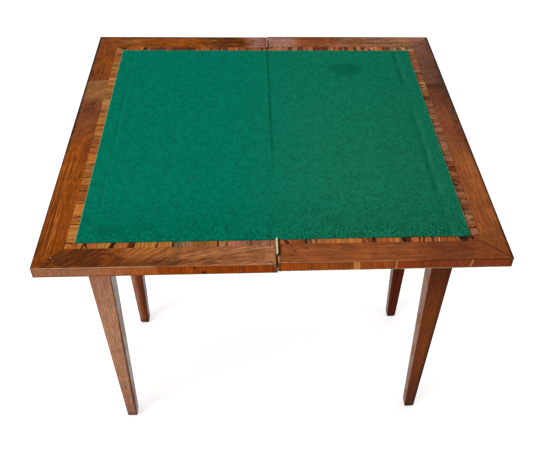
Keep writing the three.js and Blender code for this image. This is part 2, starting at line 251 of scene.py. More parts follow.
def make_patch():
    """A ragged blotch round a point, such as a stain, a knot or a paler area."""
    bench, given, result = shared(
        "Patch",
        {"Position": "vector", "Centre": "vector", "Reach": "vector", "Ragged": "value"},
        {"Mask": "value"})
    away = bench.vector("SUBTRACT", given["Position"], given["Centre"])
    away = bench.measure("LENGTH", bench.vector("DIVIDE", away, given["Reach"]))
    grain = bench.noise(given["Position"], (40, 130, 130), 3, 0.6)
    grain = bench.times(bench.minus(grain, 0.5), given["Ragged"])
    return put_out(bench, result, Mask=bench.band(bench.plus(away, grain), 1.0, 0.45))


def make_line():
    """A thin line along a plane, such as a glue joint, broken up along its length."""
    bench, given, result = shared(
        "Line",
        {"Position": "vector", "Point": "vector", "Normal": "vector", "Width": "value"},
        {"Mask": "value", "Beyond": "value"})
    away = bench.vector("SUBTRACT", given["Position"], given["Point"])
    away = bench.measure("DOT_PRODUCT", away, given["Normal"])
    wobble = bench.noise(given["Position"], (90, 90, 90), 3, 0.6)
    wobble = bench.minus(wobble, 0.5)
    shifted = bench.plus(away, bench.times(wobble, 0.0006))
    near = bench.maths("DIVIDE", bench.maths("ABSOLUTE", shifted), given["Width"])
    strength = bench.band(wobble, -0.16, 0.1, 0.55, 1.0)
    return put_out(bench, result, Mask=bench.times(bench.band(near, 1.0, 0.4), strength),
                   Beyond=bench.maths("GREATER_THAN", shifted, 0.0))


def make_edge_wear():
    """Where an arris is rubbed: strongest on the edge itself, patchy along it."""
    bench, given, result = shared(
        "Edge wear", {"Position": "vector", "Radius": "value"}, {"Mask": "value", "Patchy": "value"})
    rounded = bench.add("ShaderNodeBevel", {"Radius": given["Radius"]}, samples=4).outputs[0]
    true = bench.add("ShaderNodeNewGeometry").outputs["True Normal"]
    turned = bench.minus(1.0, bench.measure("DOT_PRODUCT", rounded, true))
    edge = bench.band(turned, 0.02, 0.22)
    patches = bench.noise(given["Position"], (55, 55, 55), 4, 0.65)
    return put_out(bench, result, Mask=edge, Patchy=bench.times(edge, bench.band(patches, 0.42, 0.6)))


def make_rubbed_polish():
    """Old polish: fine scratches both ways, and duller places where hands have rubbed."""
    bench, given, result = shared(
        "Rubbed polish", {"Position": "vector"}, {"Scratch": "value", "Dull": "value"})
    place = given["Position"]
    scratches = []
    for turn in (0.5, -0.9):
        turned = bench.add("ShaderNodeVectorRotate", {"Vector": place, "Angle": turn}).outputs[0]
        line = bench.noise(turned, (14, 1300, 1300), 0)
        gaps = bench.noise(turned, (30, 30, 30), 1)
        scratches.append(bench.times(bench.band(line, 0.78, 0.84), bench.band(gaps, 0.5, 0.6)))
    dull = bench.noise(place, (13, 17, 17), 3, 0.6)
    scratch = bench.maths("MAXIMUM", *scratches)
    return put_out(bench, result, Scratch=scratch, Dull=bench.band(dull, 0.36, 0.66))


def make_tarnish():
    """Uneven darkening and fine pits of old metal."""
    bench, given, result = shared(
        "Tarnish", {"Position": "vector", "Grain": "value"}, {"Stain": "value", "Pits": "value"})
    feeds = {"Vector": given["Position"], "Scale": given["Grain"]}
    place = bench.add("ShaderNodeVectorMath", feeds, operation="SCALE").outputs[0]
    stain = bench.noise(place, None, 5, 0.65)
    pits = bench.noise(place, (7, 7, 7), 3, 0.7)
    return put_out(bench, result, Stain=bench.band(stain, 0.36, 0.68), Pits=bench.band(pits, 0.52, 0.75))


def make_napped_cloth():
    """Felted nap: fine fibre ends, tangled tufts, thread rows and broad wear."""
    bench, given, result = shared(
        "Napped cloth", {"Position": "vector"},
        {"Fibre": "value", "Tuft": "value", "Clump": "value", "Mottle": "value", "Rows": "value",
         "Height": "value"})
    place = given["Position"]
    fibre = bench.noise(place, (1500, 1100, 900), 2, 0.6)
    tuft = bench.noise(place, (420, 330, 300), 3, 0.65, 0.8)
    clump = bench.noise(place, (170, 140, 140), 3, 0.6)
    mottle = bench.noise(place, (62, 50, 50), 3, 0.6)
    rows = bench.noise(place, (70, 620, 1), 1)
    columns = bench.noise(place, (560, 60, 1), 1)
    weave = bench.times(bench.plus(rows, columns), 0.5)
    height = bench.plus(bench.times(fibre, 0.5), bench.times(tuft, 0.8))
    height = bench.plus(height, bench.times(weave, 0.5))
    return put_out(
        bench, result, Fibre=fibre, Tuft=tuft, Clump=clump, Mottle=mottle, Rows=weave, Height=height)


WOOD_FIGURE = make_wood_figure()
PATCH = make_patch()
LINE = make_line()
EDGE_WEAR = make_edge_wear()
RUBBED_POLISH = make_rubbed_polish()
TARNISH = make_tarnish()
NAPPED_CLOTH = make_napped_cloth()

# The order of the coordinates that puts the grain first
GRAIN = {"x": (0, 1, 2), "y": (1, 0, 2), "z": (2, 0, 1)}


class Finish:
    """One material being made: its tree, its colour so far, and what it does to the light."""

    def __init__(self, name, grain="x", start=(0, 0, 0), flat_place=None):
        self.material = bpy.data.materials.new(name)
        self.material.use_nodes = True
        self.bench = Bench(self.material.node_tree)
        self.shader = self.material.node_tree.nodes["Principled BSDF"]
        if flat_place:
            # A piece can carry the place that each of its points had while it lay flat
            self.place = self.bench.add("ShaderNodeAttribute", attribute_name=flat_place).outputs["Vector"]
        else:
            self.place = self.bench.add("ShaderNodeTexCoord").outputs["Object"]
        self.parts = self.bench.split(self.place)
        self.run = self.parts["xyz".index(grain)]
        turned = self.bench.combine(*[self.parts[i] for i in GRAIN[grain]])
        self.grain = self.bench.vector("ADD", turned, start)
        self.colour = None
        self.texture = None
        self.flaws = None
        self.roughness = 0.4
        self.height = 0.0

    def bend(self, start, end, climb):
        """Carries the grain sideways by climb while it runs from start to end."""
        along, across, deep = self.bench.split(self.grain)
        moved = self.bench.minus(across, self.bench.band(self.run, start, end, 0.0, climb))
        self.grain = self.bench.combine(along, moved, deep)

    def tint(self, mask, colour, amount=1.0, blend="MIX"):
        """Lays a colour over the finish where the mask is."""
        mask = self.bench.times(mask, amount)
        self.colour = self.bench.mix(mask, self.colour, colour, blend)

    def settle(self):
        """Lays the wood's fine texture over the colours so far, so that stains and faded places keep it."""
        grey = self.bench.combine(self.texture, self.texture, self.texture)
        self.colour = self.bench.mix(1.0, self.colour, grey, "MULTIPLY")
        self.tint(self.flaws, (0.42, 0.34, 0.3, 1), 1.0, "MULTIPLY")

    def past(self, axis, start, end, *look):
        """Tints all that lies past a place along an axis, rising from start to end. look is what tint takes
        after its mask."""
        self.tint(self.beyond(axis, start, end), *look)

    def between(self, axis, start, end, soft, *look):
        """Tints a stretch of an axis, fading over a soft length at both ends."""
        self.tint(self.within(axis, start, end, soft), *look)

    def patch(self, centre, reach, colour, amount=1.0, ragged=1.2):
        """A blotch of a colour, on the table's top unless its centre and reach have a height.
        ragged says how far its outline strays."""
        centre = (*centre, TOP)[:3]
        reach = (*reach, 0.02)[:3]
        mask = self.bench.place(PATCH, Position=self.place, Centre=centre, Reach=reach, Ragged=ragged)["Mask"]
        self.tint(mask, colour, amount)

    def chips(self, places, flat, *look):
        """Small marks on the top: where each is, and how many millimetres it reaches. flat is its other reach
        over that."""
        for x, y, size in places:
            self.patch((x, y), (size * MM, size * flat * MM, 0.01), *look)

    def line(self, point, normal, width, colour, amount=1.0, where=None):
        """A thin line where the plane through a point meets the surface, kept to a mask if there is one."""
        normal = Vector(normal).normalized()
        made = self.bench.place(LINE, Position=self.place, Point=point, Normal=normal, Width=width)
        mask = made["Mask"] if where is None else self.bench.times(made["Mask"], where)
        self.tint(mask, colour, amount)

    def streaks(self, where, stretch, start, end, colour, amount):
        """Fine broken lines along the grain, kept to a mask: none where the noise is at start, all at end."""
        lines = self.bench.noise(self.grain, stretch, 2, 0.6)
        self.tint(self.bench.times(self.bench.band(lines, start, end), where), colour, amount)

    def beyond(self, axis, start, end):
        """A mask that rises from start to end along an axis of the frame."""
        return self.bench.band(self.parts["XYZ".index(axis)], start, end)

    def within(self, axis, start, end, soft):
        """A mask between two places along an axis of the frame, fading over a soft length at both."""
        rise = self.beyond(axis, start - soft / 2, start + soft / 2)
        return self.bench.times(rise, self.beyond(axis, end + soft / 2, end - soft / 2))

    def done(self, bump=0.25, depth=0.0004, **sockets):
        """Wires the colour, roughness and bump, and sets the shader's constant values."""
        self.bench.feed(self.shader.inputs["Base Color"], self.colour)
        self.bench.feed(self.shader.inputs["Roughness"], self.roughness)
        if bump:
            feeds = {"Strength": bump, "Distance": depth, "Height": self.height}
            self.bench.feed(self.shader.inputs["Normal"], self.bench.add("ShaderNodeBump", feeds).outputs[0])
        for name, value in sockets.items():
            self.shader.inputs[name.replace("_", " ")].default_value = value
        return self.material

    def polished(self, bump, shine):
        """Done, with a coat of polish whose shine is warm."""
        return self.done(bump, Specular_IOR_Level=shine, Specular_Tint=WARM)


def wood(finish, tones, ring=0.0035, wander=0.012, contrast=1.0, position=None, veined=1.0, fibre=1.0,
         flecked=0.0, rippled=1.0, settled=True):
    """Lays the wood's figure in three tones, light to dark, with its fibres, veins, flecks and pores.
    The fine texture waits for settle() when settled is false."""
    bench = finish.bench
    position = position or finish.grain
    made = bench.place(WOOD_FIGURE, Position=position, Ring_Width=ring, Wander=wander)
    light, middle, dark = [paint(tone) for tone in tones]
    spread = bench.times(bench.minus(made["Figure"], 0.42), contrast)
    finish.colour = bench.ramp(bench.plus(spread, 0.42), [(0.08, light), (0.42, middle), (0.9, dark)])
    streak = bench.band(made["Fibre"], 0.3, 0.7, 1 - 0.22 * fibre, 1 + 0.22 * fibre)
    vein = bench.band(made["Veins"], 0.34, 0.66, 1 + 0.3 * veined, 1 - 0.3 * veined)
    shimmer = bench.band(made["Shimmer"], 0.3, 0.7, 1 - 0.1 * rippled, 1 + 0.1 * rippled)
    finish.texture = bench.times(bench.times(streak, vein), shimmer)
    if flecked:
        fleck = bench.band(made["Flecks"], 0.32, 0.68, 1 - 0.3 * flecked, 1 + 0.3 * flecked)
        finish.texture = bench.times(finish.texture, fleck)
    lined = bench.band(made["Veins"], 0.6, 0.7, 0.0, 0.5 * veined)
    finish.flaws = bench.maths("MAXIMUM", lined, bench.times(made["Pores"], 0.5))
    finish.height = bench.minus(bench.times(made["Fibre"], 0.5), made["Pores"])
    if settled:
        finish.settle()


def polish(finish, smooth=0.3, dull=0.5, scratched=0.5):
    """Roughness of old polish, with its scratches."""
    bench = finish.bench
    made = bench.place(RUBBED_POLISH, Position=finish.place)
    finish.roughness = bench.band(made["Dull"], 0.0, 1.0, smooth, dull)
    finish.tint(made["Scratch"], "c08a5c", 0.3 * scratched)
    finish.height = bench.minus(finish.height, bench.times(made["Scratch"], scratched))


def sheets(finish, joints, shifts):
    """Cuts the figure into veneer sheets at the joints, and gives the grain's place in each sheet.
    joints are (axis point, normal) in the frame and shifts say how far the figure jumps there."""
    bench = finish.bench
    position = finish.grain
    steps = []
    for (point, normal), shift in zip(joints, shifts):
        made = bench.place(LINE, Position=finish.place, Point=point, Normal=Vector(normal).normalized(),
                           Width=0.0006)
        steps.append(made)
        jump = bench.vector("MULTIPLY", bench.combine(*[made["Beyond"]] * 3), shift)
        position = bench.vector("ADD", position, jump)
    return position, steps


# The tones of woods that more than one piece is made of, light to dark
EDGE_TONES = ("b6560e", "983f08", "6a2206")
POPLAR = ("d2b98c", "bfa273", "9a7a4e")
FIR = ("d3ae7c", "bd9562", "966b3d")
BEECH = ("b77f52", "a06a42", "7c4c2d")

# Old glue and dirt in the joints, also laid as painted shade under overhangs, in gaps and along lower
# arrises, and the amber of the polish
JOINT_DIRT_AND_SHADE = "2b1409"
WARM = (1.0, 0.7, 0.45, 1.0)


def band_finish(name, grain, start, tones, leaf, where, joints=(), shifts=(), bends=(), **figure):
    """French-polished walnut of one side of the border. leaf is -1 for the flap and 1 for the fixed leaf.
    Gives the finish, the sheets beyond each joint, and the outer arris as a point and a normal."""
    finish = Finish(name, grain, start)
    for bend in bends:
        finish.bend(*bend)
    position, steps = sheets(finish, joints, shifts)
    wood(finish, tones, position=position, settled=False, **figure)
    shift = leaf * LEAF_SHIFT
    outer = {
        "side": ((leaf * HALF_TOP, 0, TOP), (1, 0, 0)),
        "front": ((0, -HALF_TOP + shift, TOP), (0, 1, 0)),
        "back": ((0, HALF_TOP + shift, TOP), (0, 1, 0)),
    }
    return finish, steps, *outer[where]


def seal_joints(finish, steps, leaf, mitred=(0.6, 0.6), seam=0.001):
    """Dark glue lines between the sheets and in the mitres, front and back, then the polish over all."""
    finish.settle()
    for step in steps:
        finish.tint(step["Mask"], JOINT_DIRT_AND_SHADE, 0.7)
    shift = leaf * LEAF_SHIFT
    for end, width, amount in ((-1, BORDER, mitred[0]), (1, BACK_BORDER, mitred[1])):
        corner = (leaf * HALF_TOP, end * HALF_TOP + shift, TOP)
        mitre = (leaf * width, -end * BORDER, 0)
        finish.line(corner, mitre, seam, JOINT_DIRT_AND_SHADE, amount)
    for end, width in ((-1, BORDER), (1, BACK_BORDER)):
        inner = (0, end * (HALF_TOP - width) + shift, TOP)
        finish.line(inner, (0, 1, 0), 0.0006, JOINT_DIRT_AND_SHADE, 0.4)
    finish.line((leaf * (HALF_TOP - BORDER), 0, TOP), (1, 0, 0), 0.0007, JOINT_DIRT_AND_SHADE, 0.4)
    polish(finish)


def border_front_flap():
    """Dark at the corner, where the grain climbs, then brown with wavy lines, a painted pink sheen by the
    seam and a painted highlight on the arris there.
    """
    finish, steps, point, normal = band_finish(
        "Walnut border, flap front", "x", (0.31, 0.07, 0), ("ae6d3a", "9c5829", "6f3815"), -1, "front",
        bends=[(-0.5, -0.14, 0.24), (-0.3, 0.02, 0.05)], ring=0.003, wander=0.012, contrast=0.85, veined=0.5,
        fibre=1.2, flecked=0.55)
    bench = finish.bench
    finish.past("X", -0.225, -0.29, "7c3a0d", 0.88)
    finish.patch((-0.332, -0.372), (0.075, 0.065), "4a2207", 0.85, 2.4)
    finish.patch((-0.25, -0.39), (0.09, 0.02), "6a3410", 0.55, 1.8)
    finish.streaks(finish.beyond("X", -0.22, -0.28), (12, 380, 1), 0.53, 0.66, "9a5424", 0.34)
    # Paler and pinker towards the seam: a painted sheen
    finish.past("X", -0.21, -0.15, "a66c46", 0.35)
    finish.past("X", -0.07, -0.01, "a87250", 0.3)
    by_seam = finish.beyond("X", -0.19, -0.06)
    finish.streaks(by_seam, (13, 420, 1), 0.54, 0.64, "cc9a76", 0.4)
    finish.streaks(by_seam, (15, 470, 1), 0.46, 0.37, "64341a", 0.65)
    curls = bench.times(bench.minus(1.0, by_seam), finish.beyond("X", -0.26, -0.21))
    finish.streaks(curls, (11, 400, 1), 0.46, 0.36, "4e240c", 0.75)
    finish.streaks(curls, (12, 360, 1), 0.55, 0.65, "c0814a", 0.4)
    finish.patch((-0.2, -0.394), (0.17, 0.011), "4e240e", 0.55, 3.2)
    seal_joints(finish, steps, -1, (0.3, 0.3))
    chips = ((-0.372, -0.376, 2.6), (-0.367, -0.384, 1.6), (-0.381, -0.387, 1.4), (-0.34, -0.388, 1.2))
    finish.chips(chips, 0.6, "c99a78", 0.6, 0.8)
    finish.line(point, normal, 0.0018, "cf9c7e", 0.75, finish.within("X", -0.4, -0.2, 0.02))
    finish.line(point, normal, 0.0014, "c48a60", 0.4, finish.beyond("X", -0.21, -0.17))
    # A painted highlight on the arris by the seam
    finish.patch((-0.013, -0.4, TOP), (0.0045, 0.0018, 0.01), "d8a586", 0.5, 0.6)
    return finish.polished(0.22, 0.035)


def border_side_flap():
    """Orange-brown, finely lined on its outer half. The grain leans in the middle, with a pale painted
    reflection before the joint.
    """
    finish, steps, point, normal = band_finish(
        "Walnut border, flap side", "y", (0.83, 0.21, 0), ("a4551a", "8b420e", "582607"), -1, "side",
        joints=[((-0.38, 0.192, 0), (-0.14, 1, 0))], shifts=[(0.41, 0.023, 0.01)],
        bends=[(-0.08, 0.24, 0.15)], ring=0.0028, wander=0.006, contrast=0.65, veined=0.6, fibre=1.2,
        flecked=0.45)
    bench = finish.bench
    lined = bench.times(finish.beyond("X", -0.362, -0.38), finish.within("Y", -0.38, -0.09, 0.06))
    finish.streaks(lined, (5, 560, 1), 0.53, 0.62, "4a2008", 0.5)
    finish.streaks(lined, (5, 560, 1), 0.46, 0.38, "be7430", 0.5)
    smooth = bench.times(finish.beyond("X", -0.378, -0.368), finish.beyond("Y", -0.06, -0.12))
    finish.tint(smooth, "8a4410", 0.5)
    front = bench.minus(1.0, steps[0]["Beyond"])
    finish.past("Y", -0.345, -0.385, "73380f", 0.5)
    grey = bench.times(finish.beyond("Y", -0.09, 0.04), front)
    finish.tint(grey, "704026", 0.7)
    # A pale painted reflection over the sheet before the joint
    pale = bench.times(finish.within("Y", 0.115, 0.3, 0.035), front)
    finish.tint(pale, "9c683c", 0.7)
    finish.streaks(pale, (24, 180, 1), 0.52, 0.66, "6e4020", 0.4)
    finish.patch((-0.377, 0.08), (0.02, 0.03), "5c2f1c", 0.5, 1.5)
    finish.patch((-0.372, 0.096), (0.006, 0.009), "3d1c10", 0.7, 1.6)
    finish.tint(steps[0]["Beyond"], "80400b", 0.75)
    finish.streaks(steps[0]["Beyond"], (30, 160, 1), 0.54, 0.66, "45190a", 0.6)
    seal_joints(finish, steps, -1, (0.2, 0.1))
    finish.line(point, normal, 0.0065, "150a04", 0.95, finish.beyond("Y", -0.16, 0.0))
    finish.line(point, normal, 0.0026, "2f1508", 0.8)
    finish.chips(((-0.387, -0.32, 5), (-0.383, -0.312, 3), (-0.39, -0.3, 3)), 0.5, "3a1c0c", 0.6, 1.0)
    return finish.polished(0.22, 0.02)


def border_back_flap():
    """Brown, then an orange stretch, dark curls by the hinge and a painted pink sheen at the seam end."""
    finish, steps, point, normal = band_finish(
        "Walnut border, flap back", "x", (1.7, 0.4, 0), ("964e14", "7c3c09", "4a2006"), -1, "back",
        ring=0.0042, wander=0.012, contrast=1.0, veined=0.8, fibre=1.3, flecked=0.8)
    finish.patch((-0.215, 0.375), (0.075, 0.05), "964a08", 0.7, 1.6)
    finish.patch((-0.325, 0.372), (0.035, 0.012), "a66c38", 0.5, 1.8)
    finish.patch((-0.095, 0.37), (0.055, 0.035), "4a1e06", 0.7, 2.6)
    finish.patch((-0.13, 0.385), (0.02, 0.02), "5c4608", 0.45, 1.8)
    # Painted pink sheen at the seam end
    finish.past("X", -0.055, -0.035, "a07064", 0.85)
    finish.patch((-0.04, 0.37), (0.016, 0.02), "6a3818", 0.6, 2.2)
    finish.streaks(1.0, (26, 150, 1), 0.55, 0.68, "3d1c08", 0.6)
    finish.streaks(1.0, (34, 170, 1), 0.42, 0.3, "b8783a", 0.4)
    seal_joints(finish, steps, -1, (0.1, 0.1))
    finish.line(point, normal, 0.005, "1d0d06", 0.85)
    finish.line(point, normal, 0.0085, "1d0d06", 0.8, finish.within("X", -0.265, -0.06, 0.02))
    for x in (-0.323, -0.374):
        finish.patch((x, 0.398, TOP), (0.006, 0.003, 0.01), "1d0f08", 0.8, 0.8)
    return finish.polished(0.22, 0.01)


def border_front_fixed():
    """Redder, with a fine straight grain, two small knots by the hinge and a darker right half, with painted
    shade beside the hinge's slot and a painted highlight on the arris by the seam.
    """
    finish, steps, point, normal = band_finish(
        "Walnut border, fixed front", "x", (2.9, 0.13, 0), ("a25e2f", "8f4c25", "6f391a"), 1, "front",
        ring=0.0026, wander=0.003, contrast=0.6, veined=0.5, fibre=0.9, flecked=0.25)
    finish.streaks(1.0, (7, 420, 1), 0.54, 0.66, "b06c3c", 0.35)
    finish.streaks(1.0, (6, 380, 1), 0.45, 0.34, "5c2a12", 0.4)
    finish.past("X", 0.17, 0.29, "77381c", 0.7)
    finish.patch((0.295, -0.374), (0.045, 0.035), "5f2d16", 0.5, 1.8)
    finish.past("Y", -0.374, -0.396, "83441d", 0.3)
    finish.past("Y", -0.366, -0.356, "74401f", 0.35)
    knots = ((0.03, -0.37, 4), (0.05, -0.364, 5), (0.203, -0.386, 4), (0.111, -0.366, 3))
    finish.chips(knots, 0.7, "4a2312", 0.65, 1.0)
    seal_joints(finish, steps, 1, (0.9, 0.9), 0.0015)
    finish.line(point, normal, 0.0018, "c98a5c", 0.55, finish.within("X", 0.008, 0.225, 0.03))
    finish.line(point, normal, 0.0022, "3a1c10", 0.6, finish.within("X", 0.24, 0.4, 0.03))
    # A painted highlight on the arris by the seam
    finish.patch((0.011, -0.397, TOP), (0.005, 0.0018, 0.01), "d49a70", 0.5, 0.6)
    # Painted shade beside the hinge's slot
    slot_edge_shade = finish.bench.times(finish.beyond("X", 0.0085, 0.005), finish.beyond("Y", -0.383, -0.379))
    finish.tint(slot_edge_shade, "1a0b05", 0.7)
    return finish.polished(0.2, 0.035)


def border_side_fixed():
    """Orange-brown in front, then three sheets that are darker and redder towards the back, with a painted
    greyish sheen over the last of them.
    """
    finish, steps, point, normal = band_finish(
        "Walnut border, fixed side", "y", (3.6, 0.3, 0), ("a4602e", "924f26", "6e3919"), 1, "side",
        joints=[((0.38, -0.044, 0), (0.16, 1, 0)), ((0.38, 0.171, 0), (-0.05, 1, 0))],
        shifts=[(0.33, 0.017, 0.01), (0.2, 0.04, 0.01)],
        ring=0.0034, wander=0.006, contrast=0.6, veined=0.4, fibre=0.9, flecked=0.4)
    finish.past("Y", -0.27, -0.39, "763a1a", 0.6)
    finish.past("Y", -0.12, -0.05, "7f4629", 0.6)
    finish.past("Y", 0.03, 0.11, "5e3120", 0.65)
    # The last sheet's greyer tone and its paler back end are partly its wood and partly a painted greyish
    # sheen
    finish.tint(steps[1]["Beyond"], "6a4232", 0.75)
    finish.past("Y", 0.24, 0.4, "8a5a48", 0.6)
    behind = finish.beyond("Y", -0.1, 0.0)
    cloudy = finish.bench.times(finish.beyond("X", 0.362, 0.388), behind)
    finish.streaks(cloudy, (34, 60, 1), 0.44, 0.64, "3b1c12", 0.5)
    finish.streaks(behind, (90, 70, 1), 0.52, 0.66, "4a2418", 0.4)
    finish.patch((0.377, 0.166), (0.05, 0.016), "3a1c14", 0.65, 1.8)
    finish.patch((0.37, -0.005), (0.016, 0.03), "8c4228", 0.5, 1.8)
    outside = finish.bench.times(finish.beyond("X", 0.374, 0.396), finish.beyond("Y", -0.2, -0.04))
    finish.tint(outside, "3c1e14", 0.36)
    seal_joints(finish, steps, 1, (0.9, 0.2), 0.0015)
    finish.line(point, normal, 0.0055, "1f100b", 0.9)
    return finish.polished(0.22, 0.02)


def border_back_fixed():
    """A painted pink sheen at the seam, then a reddish-orange stretch, and a pinkish brown to the corner."""
    finish, steps, point, normal = band_finish(
        "Walnut border, fixed back", "x", (4.4, 0.5, 0), ("a87250", "94603f", "663c28"), 1, "back",
        ring=0.0042, wander=0.012, contrast=0.85, veined=0.7, fibre=1.3, flecked=0.8)
    # Painted pink sheen at the seam end
    finish.past("X", 0.075, 0.055, "a07262", 0.9)
    finish.between("X", 0.075, 0.17, 0.03, "80390a", 0.8)
    finish.between("X", 0.175, 0.24, 0.03, "7a4620", 0.45)
    finish.patch((0.33, 0.365), (0.035, 0.012), "80582c", 0.5, 1.8)
    finish.patch((0.38, 0.375), (0.04, 0.05), "8a5c4a", 0.5, 1.6)
    finish.streaks(1.0, (26, 150, 1), 0.56, 0.68, "45220f", 0.55)
    finish.streaks(1.0, (34, 170, 1), 0.42, 0.3, "c08a64", 0.4)
    seal_joints(finish, steps, 1, (0.4, 0.12))
    finish.line(point, normal, 0.005, "2b1409", 0.85)
    return finish.polished(0.22, 0.01)


def edge_finish(name, run, start, mark):
    """Short-grained walnut on a leaf's edge: the grain stands upright, so its rings make stripes along it.
    run is the edge's own axis, and mark lays the marks of that edge, if it has any."""
    finish = Finish(name, "z", start)
    bench = finish.bench
    across = finish.parts["xyz".index(run)]
    position = bench.combine(bench.times(finish.parts[2], 0.6), across, 0.0)
    position = bench.vector("ADD", position, start)
    wood(finish, EDGE_TONES, 0.0055, 0.005, 0.6, position, veined=0.35, fibre=0.9, flecked=0.3, settled=False)
    broad = bench.noise(position, (6, 40, 1), 2, 0.6)
    finish.tint(bench.band(broad, 0.5, 0.66), "a64208", 0.4)
    finish.tint(bench.band(broad, 0.46, 0.34), "78300c", 0.35)
    fine = bench.noise(position, (9, 380, 1), 2, 0.6)
    finish.tint(bench.band(fine, 0.58, 0.7), "b46022", 0.3)
    finish.tint(bench.band(fine, 0.4, 0.3), "4a1a08", 0.3)
    if mark:
        mark(finish)
    finish.settle()
    polish(finish, 0.34, 0.55)
    # A dark joint line with painted shadow under the border's overhang, and painted shade along the lower
    # arris
    finish.line((0, 0, EDGE_TOP - 0.0004), (0, 0, 1), 0.0012, JOINT_DIRT_AND_SHADE, 0.8)
    finish.line((0, 0, UNDERSIDE), (0, 0, 1), 0.0032, JOINT_DIRT_AND_SHADE, 0.8)
    return finish.polished(0.25, 0.03)


def front_flap_marks(finish):
    """Paler and pinkish at the corner, an orange stretch, and one dark knot low on the edge."""
    finish.past("X", -0.225, -0.3, "ac7252", 0.85)
    finish.between("X", -0.3, -0.2, 0.03, "b26a3a", 0.6)
    finish.between("X", -0.235, -0.2, 0.012, "b45e1c", 0.5)
    finish.patch((-0.122, -0.4, 0.744), (0.006, 0.02, 0.0035), "230f06", 0.9, 0.8)
    finish.patch((-0.137, -0.4, 0.755), (0.003, 0.02, 0.004), "3a170a", 0.8, 0.8)
    finish.past("X", -0.0095, -0.007, JOINT_DIRT_AND_SHADE, 0.75)
    finish.past("X", -0.396, -0.399, "4a2214", 0.5)


def front_fixed_marks(finish):
    """Orange-red by the hinge, a dark patch before the wide repair, and duller to the right."""
    finish.between("X", 0.054, 0.058, 0.003, "35150a", 0.35)
    finish.between("X", 0.105, 0.128, 0.012, "66280a", 0.5)
    finish.between("X", 0.02, 0.2, 0.05, "c0703a", 0.22)
    finish.past("X", 0.15, 0.3, "86402a", 0.62)
    finish.past("X", 0.0055, 0.003, JOINT_DIRT_AND_SHADE, 0.65)
    finish.past("X", 0.393, 0.398, "3a180c", 0.6)


def leg_finish(name, start, centre, tones, haze, side, flank_reflection, flank_reflection_amount, arris, glow=None, shading_across=None):
    """Solid walnut, hand-polished: upright grain, one dark arris of painted shade, a flank with a painted
    reflection and a foot darker at the floor. side is the flank's direction in X. glow warms the middle. fade
    is painted
    light and shade across the leg: from, to, tone and amount, where -1 and 1 are its left and right arrises."""
    finish = Finish(name, "z", start)
    bench = finish.bench
    wood(finish, tones, 0.0042, 0.006, 0.6, veined=0.4, fibre=1.1, flecked=0.3, rippled=0.2, settled=False)
    finish.tint(bench.band(bench.noise(finish.place, (16, 16, 4), 3), 0.4, 0.7), haze, 0.35)
    if glow:
        finish.between("Z", 0.12, 0.46, 0.2, glow, 0.45)
    x, y, z = bench.split(bench.vector("SUBTRACT", finish.place, centre))
    # Half the leg's width, which grows from the floor to the frame
    half = bench.band(z, 0.008, 0.64, 0.012, 0.025)
    if shading_across:
        # Painted light and shade across the leg, in the given tone
        start, end, tone, amount = shading_across
        finish.tint(bench.band(bench.maths("DIVIDE", x, half), start, end), tone, amount)
    # A painted reflection on the flank that faces side
    facing = bench.add("ShaderNodeNewGeometry").outputs["True Normal"]
    turned = bench.measure("DOT_PRODUCT", facing, (side, 0, 0))
    finish.tint(bench.band(turned, 0.6, 0.85), flank_reflection, flank_reflection_amount)
    finish.settle()
    polish(finish, 0.24, 0.42, 0.7)
    # Painted shade down the front right arris, pale wear on all of them, painted shade under the frame, and
    # darker at the foot
    from_side = bench.minus(half, x)
    from_front = bench.plus(half, y)
    arris_shade = bench.times(bench.band(from_side, 0.0042, 0.0024), bench.band(from_front, 0.006, 0.003))
    rubbed = bench.noise(finish.place, (20, 20, 14), 2)
    arris_shade = bench.times(arris_shade, bench.band(rubbed, 0.3, 0.6, 0.7, 1.0))
    finish.tint(arris_shade, "1c0c06", arris)
    worn = bench.place(EDGE_WEAR, Position=finish.place, Radius=0.0022)
    finish.tint(worn["Patchy"], "a06a48", 0.2)
    finish.past("Z", 0.698, 0.74, "2c1410", 0.5)
    finish.past("Z", 0.026, 0.004, "2c1a12", 0.75)
    return finish.polished(0.3, 0.04)


def apron_finish(name, face, start):
    """Walnut veneer on a fir apron: the veneer shows on its face, and the fir on its back and edges."""
    axis, sign = face[1], -1 if face[0] == "-" else 1
    grain = "y" if axis == "x" else "x"
    finish = Finish(name, grain, start)
    bench = finish.bench
    wood(finish, ("9c5c30", "7f431f", "502711"), 0.006, 0.02)
    veneer = finish.colour
    wood(finish, ("cda878", "b8905e", "94683a"), 0.0042, 0.006)
    glued = APRON_FACE[axis] - 0.9 * MM
    depth = bench.times(finish.parts["xyz".index(axis)], float(sign))
    outside = bench.maths("GREATER_THAN", depth, glued)
    finish.colour = bench.mix(outside, finish.colour, veneer)
    finish.roughness = bench.minus(0.72, bench.times(outside, 0.34))
    worn = bench.place(EDGE_WEAR, Position=finish.place, Radius=0.0015)
    finish.tint(worn["Mask"], "2c170d", 0.45)
    return finish.done(0.25, Specular_IOR_Level=0.35)


def board_finish(name, grain, start, tones, ring=0.0042, wander=0.006, soil=0.4):
    """Bare secondary wood, sawn and soiled by age, and near black with painted shade in the slots beside the
    hinges.
    """
    finish = Finish(name, grain, start)
    bench = finish.bench
    wood(finish, tones, ring, wander)
    dirt = bench.place(TARNISH, Position=finish.place, Grain=26.0)
    finish.tint(dirt["Stain"], "6d5238", soil)
    # Painted shade, near black, in the slots beside the hinges
    slot_shade = bench.times(finish.within("X", -0.008, 0.0075, 0.001), finish.beyond("Z", 0.735, 0.74))
    finish.tint(slot_shade, "0d0603", 0.96)
    finish.roughness = bench.band(dirt["Pits"], 0.0, 1.0, 0.62, 0.85)
    return finish.done(0.4, Specular_IOR_Level=0.1)


